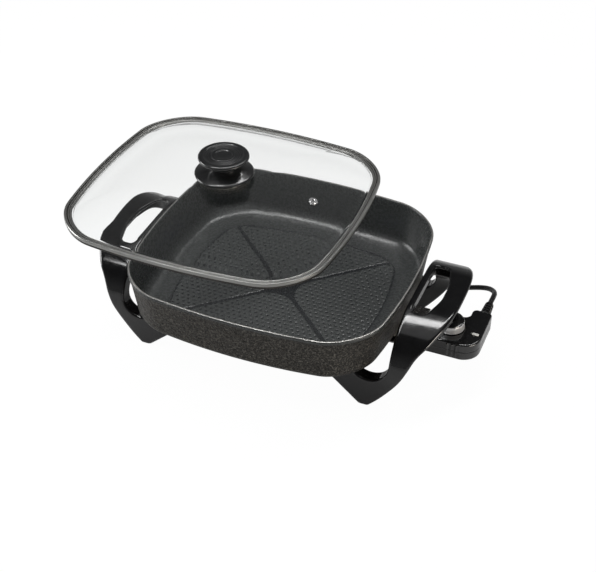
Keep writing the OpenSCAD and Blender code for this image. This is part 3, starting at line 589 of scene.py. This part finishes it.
def make_cord():
    """The cord from the strain relief to the plug, with its path and its length in metres."""
    closest = 0.3
    path = np.vstack([smooth_curve(CORD_POINTS, 4)[:-1], [(26, PLUG_Y, COIL_LIE)], COIL, TAIL])
    path = path[np.r_[True, np.linalg.norm(np.diff(path, axis=0), axis=1) > closest]]
    verts, faces = loft(tube(path, CORD_DIAMETER / 2))
    cord = add_mesh("mains_cord", verts, faces, rubber, "control",
                    ["power_cord", "cord_coil"], 60)
    length = np.linalg.norm(np.diff(path, axis=0), axis=1).sum() * MM
    return cord, path * MM, length


cord_piece, cord_path, cord_length = make_cord()


# ---- Pan ----

def wall_inset(z):
    return WALL + DRAFT * (RIM_Z - z) / (RIM_Z - FLOOR_Z)


def outer_inset(z):
    return BEAD + DRAFT * (RIM_Z - z) / (RIM_Z - FLOOR_Z)


PANEL = {"angle": math.atan(HALF_WIDTH / HALF_LENGTH), "gap": 2.3, "tip": 34.0, "inset": 42.0,
         "pitch_x": 7.7, "pitch_y": 6.67, "low": 0.5, "dimple": 0.42}


def panel_depth(x, y):
    """How far a point lies inside its panel. Four panels with round tips leave a smooth cross."""
    across = np.abs(x) * math.sin(PANEL["angle"])
    along = np.abs(y) * math.cos(PANEL["angle"])
    near, other, tip = np.abs(across - along), across + along, PANEL["tip"]
    reach = np.hypot(np.maximum(tip - near, 0), np.maximum(tip - other, 0))
    return np.where(reach > 0, tip - reach, near) - PANEL["gap"]


def ease(share):
    """A share of 0 to 1 that starts and ends gently."""
    share = np.clip(share, 0, 1)
    return share * share * (3 - 2 * share)


def make_panels():
    """The four raised panels with their staggered dimples, closed below inside the casting."""
    pitch_x, pitch_y = PANEL["pitch_x"], PANEL["pitch_y"]
    x = np.arange(-175, 176)[:, None] * pitch_x / 10
    y = np.arange(-165, 166)[None, :] * pitch_y / 9
    depth = np.minimum(panel_depth(x, y), -polygon_field(x, y, outline(PANEL["inset"])))
    below_z = FLOOR_Z - 2
    spots = []
    for shift in (0, 0.5):
        dx = (x / pitch_x - shift + 0.5) % 1 - 0.5
        dy = (y / (2 * pitch_y) - shift + 0.5) % 1 - 0.5
        spots.append(np.hypot(dx * pitch_x, dy * 2 * pitch_y))
    dimple = 1 - ease((np.minimum(*spots) - 0.9) / 1.6)
    z = (FLOOR_Z - 0.8 * (1 - ease((depth + 0.5) / 1.1))
         - PANEL["dimple"] * dimple * ease(depth / 1.5))
    kept = depth > -1.2
    index = np.full(z.shape, -1)
    index[kept] = np.arange(kept.sum())
    xs, ys = np.broadcast_arrays(x, y)
    verts = np.column_stack([xs[kept], ys[kept], z[kept]])
    quads = np.stack([index[:-1, :-1], index[1:, :-1], index[1:, 1:], index[:-1, 1:]], -1)
    quads = quads.reshape(-1, 4)
    quads = quads[(quads >= 0).all(1)]
    edges = {(q[k], q[(k + 1) % 4]) for q in quads.tolist() for k in range(4)}
    rim = [e for e in sorted(edges) if e[::-1] not in edges]
    below = {v: len(verts) + k for k, v in enumerate(sorted({v for e in rim for v in e}))}
    middle = len(verts) + len(below)
    verts = np.vstack([verts, verts[list(below)] * (1, 1, 0) + (0, 0, below_z), [(0, 0, below_z)]])
    faces = quads.tolist()
    for a, b in rim:
        faces += [(b, a, below[a], below[b]), (below[b], below[a], middle)]
    add_mesh("floor_panels", verts, faces, pan_inside, "base", (), 60)


def quarter(steps):
    """Sine and cosine of the turns that round a quarter circle, without its start."""
    turns = [math.radians(90 * k / steps) for k in range(1, steps + 1)]
    return [(math.sin(turn), math.cos(turn)) for turn in turns]


def make_pan():
    """The casting: floor, cove, wall, bead and outside, as one loft from inside to underneath."""
    cove_z, under_z, bead_foot = FLOOR_Z + COVE, UNDER_Z + UNDER_RADIUS, 116
    wall_top, cap = RIM_Z - 1.2, (0.75, 0.5, 0.25, 0.02)
    cove_inset = wall_inset(cove_z) + COVE
    edge = outline(cove_inset)
    rings = []
    for f in (0.02, 0.25, 0.5, 0.75, 0.87, 0.88, 0.89, 0.9, 0.93, 0.95, 0.97, 0.985, 1):
        sunk = PANEL["low"] * (1 - 0.6 * ease((f - 0.87) / 0.03) - 0.4 * ease((f - 0.9) / 0.1))
        rings.append(np.column_stack([edge * f, np.full(len(edge), FLOOR_Z - sunk)]))
    for sine, cosine in quarter(12):
        rings.append(ring(cove_inset - COVE * sine, cove_z - COVE * cosine))
    for k in range(1, 9):
        z = cove_z + (wall_top - cove_z) * k / 8
        rings.append(ring(wall_inset(z), z))
    inner_count = len(rings)
    bead = [(2.9, 121.3), (2.6, 121.8), (2.2, 122), (1.2, 122), (0.6, 121.85), (0.2, 121.4),
            (0, 120.8), (0, 118), (0, 117.4), (0.25, 116.9), (0.8, 116.6),
            (outer_inset(bead_foot), bead_foot)]
    rings += [ring(inset, z) for inset, z in bead]
    for k in range(1, 9):
        z = bead_foot + (under_z - bead_foot) * k / 8
        rings.append(ring(outer_inset(z), z))
    under_inset = outer_inset(under_z) + UNDER_RADIUS
    for sine, cosine in quarter(12):
        rings.append(ring(under_inset - UNDER_RADIUS * cosine, under_z - UNDER_RADIUS * sine))
    base = outline(under_inset)
    rings += [np.column_stack([base * f, np.full(len(base), UNDER_Z)]) for f in cap]
    verts, faces = loft(rings)
    pan = add_mesh("pan_casting", verts, faces, pan_inside, "base", ["pan"], 50)
    pan.data.materials.append(pan_outside)
    pan.data.materials.append(rim_edge)
    n = len(edge)
    outside, top = (inner_count + 7) * n, (inner_count + 2) * n
    for polygon in pan.data.polygons:
        first = min(polygon.vertices)
        polygon.material_index = 1 if first >= outside else 2 if top <= first < top + 2 * n else 0


def element_path():
    """Half of the element's line in plan, from a terminal to the left end of the loop."""
    offset, bend, inner, half_x, half_y = 16.0, 22.0, 12.0, 88.0, 68.0
    return rounded([(154, offset, 0), (half_x, offset, inner), (half_x, half_y, bend),
                    (-half_x, half_y, bend), (-half_x, 0, 0)], 6)


def line_field(px, py, line):
    px, py = np.broadcast_arrays(px, py)
    best = np.full(px.shape, 1e18)
    for (ax, ay), (bx, by) in zip(line[:-1], line[1:]):
        ex, ey = bx - ax, by - ay
        t = np.clip(((px - ax) * ex + (py - ay) * ey) / (ex * ex + ey * ey), 0, 1)
        best = np.minimum(best, (px - ax - ex * t) ** 2 + (py - ay - ey * t) ** 2)
    return np.sqrt(best)


def make_underside():
    """The ribs of the element and the probe, the screw posts and the guard's bosses."""
    line, mouth_x, well_x, boss_low, probe_low = element_path(), 148, 83, 50, 43.5
    line[0, 0] = mouth_x

    def field(x, y, z):
        path = line_field(x, np.abs(y), line)
        ridge = meet(1.2, path - 6.5, slab(z, boss_low, 60))
        rib = meet(1.2, box_field(x - 113, y, 35, 7.5), slab(z, probe_low, 60))
        mouth = meet(1.2, slab(x, 78, mouth_x), slab(z, probe_low, 60))
        posts = join(0, *[meet(0.6, np.hypot(np.abs(x) - px, np.abs(y) - LEG_SCREW_Y) - 6,
                               slab(z, boss_low, 60)) for px in LEG_SCREWS])
        guard = meet(0.4, np.hypot(x - 138, np.abs(y) - 22) - 5, slab(z, 41.6, 60))
        solid = join(1.5, ridge, np.maximum(rib, mouth), posts, guard)
        tube_hole = np.hypot(path, z - PROBE_Z) - 3.55
        well = np.maximum(np.hypot(y, z - PROBE_Z) - 4.5, slab(x, well_x, 160))
        return cut(0.5, np.maximum(solid, z - 57.5), tube_hole, well)

    verts, faces = surface_net(field, (-128, -105, 40), (150, 105, 59), 1.5)
    add_mesh("pan_underside", verts, faces, pan_outside, "base", (), 35)


make_pan()
make_panels()
make_underside()


# ---- Handles ----

def make_handles():
    """An arch of constant thickness, cut by its leg seen from the front and by its plan."""
    shares = [(0, 0), (0.146, 0.113), (0.285, 0.241), (0.395, 0.354), (0.485, 0.467),
              (0.56, 0.585), (0.62, 0.682), (0.7, 0.764), (0.81, 0.831), (0.92, 0.895),
              (0.985, 0.959), (1.0, 1.026)]
    sole, arm_tip, above = 151.0, 84, HANDLE_TOP + 20
    outer = smooth_curve([(sole + (HANDLE_REACH - sole) * u, HANDLE_TOP * v) for u, v in shares], 6)
    fillet, fillet_radius, arm_z = [], 24.0, UNDER_Z - 14
    for k in range(13):
        turn = math.radians(-90 * k / 12)
        fillet.append((STRIP_INNER - fillet_radius + fillet_radius * math.cos(turn),
                       arm_z + fillet_radius * (1 + math.sin(turn))))
    arm = [(149.5, 42), (142.5, 43.3), (135.5, 46.9), (131.9, 51.8), (129.5, UNDER_Z)]
    arm = smooth_curve(arm, 4)[1:]
    leg = np.vstack([outer, [(HANDLE_REACH, above), (STRIP_INNER, above)], fillet, arm,
                     [(arm_tip, UNDER_Z), (arm_tip, UNDER_Z - 6), (sole - 10, 0)]])
    plan_shares = [(0, 1), (0.15, 0.9985), (0.29, 0.993), (0.43, 0.983), (0.567, 0.966),
                   (0.69, 0.94), (0.837, 0.906), (1.06, 0.855)]
    half = smooth_curve([(HANDLE_REACH * v, LEG_SPAN * u) for u, v in plan_shares], 6)
    plan = np.vstack([half[::-1], half[1:] * (1, -1), [(0, -LEG_SPAN - 8), (0, LEG_SPAN + 8)]])

    def slot_shape(grow):
        inner, edge = SLOT_INNER - grow / 4, SLOT_INNER + SLOT_WIDTH + grow
        corner, end = edge - 9, SLOT_HALF + grow
        return rounded([(inner, -end, 6), (corner, -end, 9), (edge, -end / 3, 60),
                        (edge, end / 3, 60), (corner, end, 9), (inner, end, 6)], 5)

    slot, pocket = slot_shape(0), slot_shape(8)

    def arch(y, z, inset):
        half_y, half_z, radius = LEG_SPAN - inset, 200 - inset, ARCH_RADIUS - inset
        return box_field(y, z - HANDLE_TOP + 200, half_y, half_z, radius)

    def field(x, y, z):
        body = meet(3.0, arch(y, z, 0), -arch(y, z, HANDLE_THICKNESS), polygon_field(x, z, leg),
                    polygon_field(x, y, plan), 0.3 - z)
        body = cut(1.5, body, meet(1.5, polygon_field(x, y, pocket), z - HANDLE_TOP + 6))
        body = cut(2.0, body, polygon_field(x, y, slot))
        screws = either(np.hypot(x - px, np.abs(y) - LEG_SCREW_Y) for px in LEG_SCREWS)
        return cut(0.4, body, np.maximum(screws - 5.5, z - 44), screws - 2.25)

    low, high = (arm_tip, -LEG_SPAN, 0), (HANDLE_REACH, LEG_SPAN, HANDLE_TOP)
    verts, faces = surface_net(field, low, high, 1.6)
    mirrored = [f[::-1] for f in faces]
    for side, v, f in (("right", verts, faces), ("left", verts * (-1, 1, 1), mirrored)):
        add_mesh("handle_" + side, v, f, gloss_black, "base",
                 [side + "_handle"], 55)


make_handles()


# ---- Lid ----

def dome_height(share):
    return FLANGE_TOP + DOME_RISE * (1 - share ** 3) ** 0.8


def make_glass():
    edge = outline(DOME_INSET)
    shares = np.concatenate([np.linspace(0.03, 0.9, 26), np.linspace(0.9, 1, 12)[1:]])

    def dome(drop, order):
        return [np.column_stack([edge * f, np.full(len(edge), dome_height(f) - drop)])
                for f in order]

    rim = [ring(i, z) for i, z in (
        (8.4, FLANGE_TOP), (2.2, FLANGE_TOP), (1.6, FLANGE_TOP - 0.6),
        (1.6, FLANGE_BOTTOM + 0.6), (2.2, FLANGE_BOTTOM), (8.4, FLANGE_BOTTOM))]
    verts, faces = loft(dome(0, shares) + rim + dome(GLASS, shares[::-1]))
    return add_mesh("dome_glass", verts + LID_OFFSET, faces, clear_glass, "lid",
                    ["lid_glass"], 60)


def make_band():
    """The rolled steel band. The faces that lie in its grooves and under its lip get a darker steel
    as painted shade.
    """
    profile = rounded([
        (8.1, 5.25, 0), (8.1, 5.95, 0.3), (7.4, 6.1, 0.2), (7.0, 5.9, 0.15), (5.4, 6.5, 0.2),
        (4.9, 7.15, 0.3), (3.7, 7.3, 0.3), (3.3, 6.95, 0.15), (2.7, 7.2, 0.15), (2.3, 8.0, 0.3),
        (-0.1, 8.0, 0.9), (-0.8, 7.1, 0.6), (-0.8, 4.2, 0.3), (-0.5, 3.7, 0.2), (0.0, 3.6, 0.15),
        (0.0, 0.7, 0.3), (0.5, 0.3, 0.3), (5.2, 0.3, 0.3), (5.5, 0.0, 0.3), (5.5, -1.5, 0.2),
        (5.8, -1.8, 0.15), (6.2, -1.8, 0.15), (6.4, -1.5, 0.2), (6.4, 1.15, 0.2), (0.9, 1.15, 0.3),
        (0.45, 1.7, 0.3), (0.45, 6.1, 0.3), (0.9, 6.5, 0.3), (3.0, 6.3, 0.2), (7.6, 5.25, 0.2)], 25)
    verts, faces = loft([ring(i, z) for i, z in profile], closed=True)
    band = add_mesh("rim_band", verts + LID_OFFSET, faces, band_steel, "lid",
                    ["lid_rim_band"], 28)
    band.data.materials.append(band_painted_shade)
    middles = (profile + np.roll(profile, -1, 0)) / 2
    # Faces in the grooves and under the lip, which carry the painted shade.
    painted_shade_faces = [z < 3.65 or (z > 6.2 and (2.35 < x < 3.5 or 4.9 < x < 5.5 or x > 7.0))
              for x, z in middles]
    around = len(outline(0))
    for polygon in band.data.polygons:
        polygon.material_index = int(painted_shade_faces[polygon.index // around])


def add_knob_piece(name, rings, mat, node, lift, sharp, closed=False):
    verts, faces = loft(rings, closed)
    add_mesh(name, verts + LID_OFFSET + (0, 0, lift), faces, mat, "lid", [node], sharp)


def make_knob():
    """The flared skirt with its six windows, the grooved cap and the pale seal under them."""
    foot, joint = DOME_TOP + 3, 11.5
    neck, rim, edge, top = 19.0, 35.5, 30.5, 25.5
    disc, reach = top - 6, rim - neck
    flare = ((0.09, 3.4), (0.3, 4.9), (0.54, 6.6), (0.76, 8.5), (0.91, 10.2))
    flare = [(rim - share * reach, z) for share, z in flare]
    skirt = smooth_curve([(rim, 0.9), (rim, 2.0), *flare, (neck, joint)], 5)
    base = [(8.5, 0.1), (rim - 0.7, 0), (rim - 0.2, 0.25)] + [tuple(p) for p in skirt]
    base += [(neck - 0.3, joint + 0.1), (17, joint - 0.2)]
    rings = revolve(base, 180)
    for r in rings[1:10]:
        turns = np.degrees(np.arctan2(r[:, 1], r[:, 0])) % 60
        window = np.clip((4.6 - np.abs(turns - 15)) / 0.8, 0, 1)
        r[:, 2] = np.maximum(r[:, 2], 1.3 * window)
    add_knob_piece("knob_skirt", rings[::-1], knob_black, "knob_base", foot, 45)
    boss = ((21, -0.9), (20.6, -0.8), (20.1, 0), (19.7, 0.1), (16.7, 0.1), (16.3, 0), (15.8, -0.7))
    profile = [(0.5, top - 0.9)] + [(edge - r, top + z) for r, z in boss]
    for k in range(3):
        groove = edge - 13.9 + 2.4 * k
        profile += [(groove - 0.5, top - 0.75), (groove - 0.15, top - 1.0),
                    (groove + 0.15, top - 1.0), (groove + 0.5, top - 0.75)]
    lip = ((7.3, -0.7), (6.8, -0.5), (6.5, -0.05), (6.1, 0.1), (2.6, 0.05), (1.4, -0.3),
           (0.5, -1.0), (0, -2.1))
    under = ((0, 2.7), (0.3, 1.8), (1.0, 1.1), (3.5, -0.1), (5.6, -0.8))
    waist = ((3.6, -1.9), (1.6, -3.0), (0.5, -4.3))
    profile += [(edge - r, top + z) for r, z in lip] + [(edge - r, disc + z) for r, z in under]
    profile += [(neck + r, disc + z) for r, z in waist]
    profile += [(neck - 0.5, joint + 1.6), (neck - 0.7, joint + 0.9), (neck - 0.6, joint + 0.3),
                (2, joint + 0.2)]
    add_knob_piece("knob_cap", revolve(profile, 180), knob_black, "knob_top",
                   foot, 45)
    seal = [(3.6, 0.05), (30.6, 0), (31.3, 0.3), (31.5, 0.9), (31.5, 2.1), (31.3, 2.7), (30.6, 3),
            (3.6, 2.95)]
    add_knob_piece("seal_ring", revolve(seal, 144)[::-1], seal_rubber, "knob_seal",
                   DOME_TOP, 40, closed=True)


glass = make_glass()
make_band()
make_knob()


# ---- Control ----

def housing_corners():
    left, right, front, back, arm, end = HOUSING.values()
    return [(left, front + 6, 4), (left + 6, front, 4), (right, front, 22), (right, end, 5),
            (arm, end, 6), (arm, back, 8), (left, back, 5)]


def make_control():
    """The two halves of the housing, which part along a fine line, with grip ribs in front."""
    plan, half_gap, overlap = rounded(housing_corners(), 5), 0.15, 6

    def relief_hole(x, y, z):
        return np.maximum(np.hypot(x - RELIEF_X, z - HOUSING_SPLIT) - 5.3, 40 - y)

    def ribs(x, y, z, low):
        starts = [5.5 * k for k in range(3)]
        return either(meet(0.8, slab(x, 233 - s, 235.6 - s), slab(y, -31, -28),
                           slab(z, low, HOUSING_TOP - 2)) for s in starts)

    def top(x, y, z):
        body = meet(2.2, polygon_field(x, y, plan), z - HOUSING_TOP, HOUSING_SPLIT - overlap - z)
        body = np.minimum(body, ribs(x, y, z, HOUSING_SPLIT - overlap))
        body = meet(0.25, body, HOUSING_SPLIT + half_gap - z)
        dish = np.maximum(np.hypot(x - DIAL[0], y - DIAL[1]) - 18.6, HOUSING_TOP - 0.5 - z)
        return cut(0.3, body, dish, relief_hole(x, y, z))

    def bottom(x, y, z):
        body = meet(1.8, polygon_field(x, y, plan), z - HOUSING_SPLIT - overlap, HOUSING_BOTTOM - z)
        nose = meet(1.0, slab(x, 169, 195), np.abs(y) - 23, slab(z, 42.4, 59.6))
        body = np.minimum(body, ribs(x, y, z, HOUSING_BOTTOM + 2))
        body = meet(0.25, body, z - HOUSING_SPLIT + half_gap)
        sockets = np.maximum(np.hypot(np.abs(y) - 16, z - PROBE_Z) - 4, x - 188)
        screws = either(np.maximum(np.hypot(x - px, y - py) - 3, z - HOUSING_BOTTOM - 2)
                        for px, py in ((199, -25), (251, 13)))
        return cut(0.3, np.minimum(body, nose), sockets, screws, relief_hole(x, y, z))

    for name, field, start, node in (("housing_upper", top, 188, "control_top"),
                                     ("housing_lower", bottom, 168, "control_base")):
        verts, faces = surface_net(field, (start, -32, 42), (260, 44, 67), 0.8)
        add_mesh(name, verts, faces, control_black, "control", [node], 50)


def make_relief():
    """The ribbed sleeve round the cord, which narrows from start to end."""
    length, ribs, start, end = 30.0, 6, 14.0, 10.5
    pitch, bore = length / ribs, CORD_DIAMETER / 2
    core = bore + 1.2
    profile = [(3.3, -18), (3.3, -5), (5.2, -4.5), (5.2, 0)]
    for k in range(ribs):
        y0, y1 = k * pitch, k * pitch + 0.62 * pitch
        r0, r1 = ((start + (end - start) * y / length) / 2 for y in (y0, y1))
        profile += [(core, y0), (r0 - 0.4, y0 + 0.05), (r0, y0 + 0.45),
                    (r1, y1 - 0.45), (r1 - 0.4, y1 - 0.05), (core, y1)]
    profile += [(core, length - 0.4), (bore + 0.8, length), (bore, length)]
    rings = [np.column_stack([r[:, 0], r[:, 2], -r[:, 1]]) for r in revolve(profile, 64)]
    verts, faces = loft(rings[::-1])
    verts = verts + (RELIEF_X, HOUSING["end"], HOUSING_SPLIT)
    add_mesh("relief_sleeve", verts, [f[::-1] for f in faces], rubber, "control",
             ["strain_relief"], 35)


def make_dial():
    """The silver ring with 60 flutes and the black cap on it."""
    edge, height, flutes = 17.25, 11.0, 60
    low, top = 0.5, height - 1.5
    profile = [(3, low), (edge - 0.5, low), (edge, low + 0.4), (edge, low + 1.2),
               (edge - 0.5, low + 1.8), (edge - 0.6, top - 0.6), (edge - 0.9, top - 0.1),
               (edge - 1.6, top), (3, top)]
    rings = revolve(profile, 240)
    for r in rings[4:6]:
        turns = np.arctan2(r[:, 1], r[:, 0])
        r[:, :2] *= (1 - 0.012 * (0.5 + 0.5 * np.cos(flutes * turns)))[:, None]
    verts, faces = loft(rings[::-1])
    add_mesh("dial_grip", verts + DIAL, faces, silver, "dial", ["dial_ring"], 35)
    cap = [(0.5, height - 0.55), (5.4, height - 0.55), (5.9, height - 0.45), (6.3, height),
           (edge - 2.6, height), (edge - 1.7, height - 0.3), (edge - 1.3, height - 0.9),
           (edge - 1.2, top - 0.02), (3, top - 0.02)]
    verts, faces = loft(revolve(cap, 120))
    add_mesh("dial_face", verts + DIAL, faces, control_black, "dial",
             ["dial_cap"], 35)


def make_plug():
    plan = rounded([(-36, -6, 2), (-36, 6, 2), (-45, 12.5, 6), (-62, 12.5, 2), (-62, -12.5, 2),
                    (-45, -12.5, 6)], 6)

    def field(x, y, z):
        body = meet(2.5, polygon_field(x, y - PLUG_Y, plan), slab(z, 0, 14))
        collar = meet(0.8, np.hypot(y - PLUG_Y, z - 7) - 5.5, slab(x, -40, -28))
        grips = either(np.maximum(np.abs(x + 44 + 3.2 * k) - 0.7, 11.6 - np.abs(y - PLUG_Y))
                       for k in range(4))
        return cut(0.3, join(1.0, body, collar), grips)

    verts, faces = surface_net(field, (-62, PLUG_Y - 13, 0), (-28, PLUG_Y + 13, 14), 0.8)
    return add_mesh("plug_moulding", verts, faces, rubber, "control",
                    ["plug_body"], 40)


make_control()
make_relief()
make_dial()
plug = make_plug()


# ---- Carried-over CAD nodes ----

KEPT = {
    "heating_element": element_steel, "terminal_pins": bright_steel, "terminal_insulators": ceramic,
    "probe_well": bright_steel, "terminal_guard": steel, "guard_screws": zinc,
    "left_handle_screws": zinc, "right_handle_screws": zinc,
    "left_handle_washers": zinc, "right_handle_washers": zinc,
    "steam_vent": bright_steel, "knob_screw": zinc, "knob_insert": brass, "knob_washer": zinc,
    "probe_rod": bright_steel, "contact_sleeves": brass, "terminal_block": phenolic,
    "thermostat_switch": phenolic, "neon_lamp": lamp, "pilot_lens": lens_white,
    "control_screws": zinc, "cord_clamp": steel, "coil_tie": tie_black, "plug_blades": brass,
    "dial_shaft": zinc,
    "dial_pointer": lens_white}
for name, mat in KEPT.items():
    mesh = nodes[name].data
    mesh.materials.clear()
    mesh.materials.append(mat)


# ---- Floor, lights and world ----

def make_stage():
    """A pale floor that keeps the shadow. It glows white to the camera and through glass."""
    mesh = bpy.data.meshes.new("floor")
    size, seen_share, glossy_share = 6.0, 0.93, 0.15
    corners = [(-size, -size, 0), (size, -size, 0), (size, size, 0), (-size, size, 0)]
    mesh.from_pydata(corners, [], [(0, 1, 2, 3)])
    floor = bpy.data.objects.new("floor", mesh)
    bpy.context.scene.collection.objects.link(floor)
    m = Nodes("floor_white")
    m.set(Base_Color=(0.5, 0.5, 0.5, 1), Roughness=0.9, Specular_IOR_Level=0.1)
    path = m.add("ShaderNodeLightPath")
    seen = m.math("MAXIMUM", path.outputs["Is Camera Ray"], path.outputs["Is Transmission Ray"])
    glossy = m.math("MULTIPLY", path.outputs["Is Glossy Ray"], glossy_share)
    seen = m.math("MAXIMUM", m.math("MULTIPLY", seen, seen_share), glossy)
    emission = m.add("ShaderNodeEmission")
    emission.inputs["Strength"].default_value = 1.05
    mix = m.add("ShaderNodeMixShader")
    m.wire(seen, mix.inputs[0])
    m.wire(m.bsdf.outputs[0], mix.inputs[1])
    m.wire(emission.outputs[0], mix.inputs[2])
    out = [n for n in m.tree.nodes if n.type == "OUTPUT_MATERIAL"][0]
    m.wire(mix.outputs[0], out.inputs["Surface"])
    mesh.materials.append(m.mat)


def make_world():
    """White to the camera, and through glass near the horizon. To other rays it is dim, most of all
    overhead."""
    world = bpy.data.worlds.new("studio")
    bpy.context.scene.world = world
    world.use_nodes = True
    tree = world.node_tree

    path = tree.nodes.new("ShaderNodeLightPath")
    coords = tree.nodes.new("ShaderNodeTexCoord")
    split = tree.nodes.new("ShaderNodeSeparateXYZ")
    tree.links.new(coords.outputs["Generated"], split.inputs[0])

    def by_height(low, high, out_low, out_high):
        node = tree.nodes.new("ShaderNodeMapRange")
        limits = {"From Min": low, "From Max": high, "To Min": out_low, "To Max": out_high}
        for key, number in limits.items():
            node.inputs[key].default_value = number
        tree.links.new(split.outputs["Z"], node.inputs["Value"])
        return node.outputs[0]

    def combine(operation, *sources):
        node = tree.nodes.new("ShaderNodeMath")
        node.operation = operation
        for source, socket in zip(sources, node.inputs):
            tree.links.new(source, socket)
        return node.outputs[0]

    sky = by_height(0.1, 0.5, 0.2, 0.04)
    through = by_height(0.15, 0.3, 1.0, 0.3)
    through = combine("MULTIPLY", path.outputs["Is Transmission Ray"], through)
    white = combine("MAXIMUM", path.outputs["Is Camera Ray"], through)
    background = tree.nodes["Background"]
    tree.links.new(combine("MAXIMUM", white, sky), background.inputs["Strength"])
    background.inputs["Color"].default_value = (1, 1, 1, 1)


def add_light(name, at, aim, size, power, colour=(1, 1, 1)):
    """An area lamp. The glass dome neither catches nor blocks it."""
    data = bpy.data.lights.new(name, "AREA")
    data.shape = "RECTANGLE"
    data.size, data.size_y = size
    data.energy = power
    data.color = colour
    light = bpy.data.objects.new(name, data)
    bpy.context.scene.collection.objects.link(light)
    light.location = at
    light.rotation_mode = "QUATERNION"
    light.rotation_quaternion = (Vector(aim) - Vector(at)).to_track_quat("-Z", "Y")
    group = bpy.data.collections.new(name + "_unseen")
    group.objects.link(glass)
    for member in group.collection_objects:
        member.light_linking.link_state = "EXCLUDE"
    light.light_linking.receiver_collection = group
    light.light_linking.blocker_collection = group


make_stage()
make_world()
WARM = (1, 0.93, 0.84)
add_light("softbox_top", (-0.2, 0.1, 1.65), (-0.05, 0, 0), (2.9, 0.24), 24)
add_light("softbox_fill", (0.0, 0.1, 2.3), (0, 0, 0), (2.6, 2.4), 9)
add_light("softbox_left", (-1.6, -0.4, 0.5), (0, 0, 0.08), (0.7, 0.6), 12)
add_light("softbox_right", (1.2, -0.4, 0.1), (0.15, -0.12, 0.08), (0.6, 0.25), 6, WARM)

bpy.context.scene.view_settings.view_transform = "Standard"
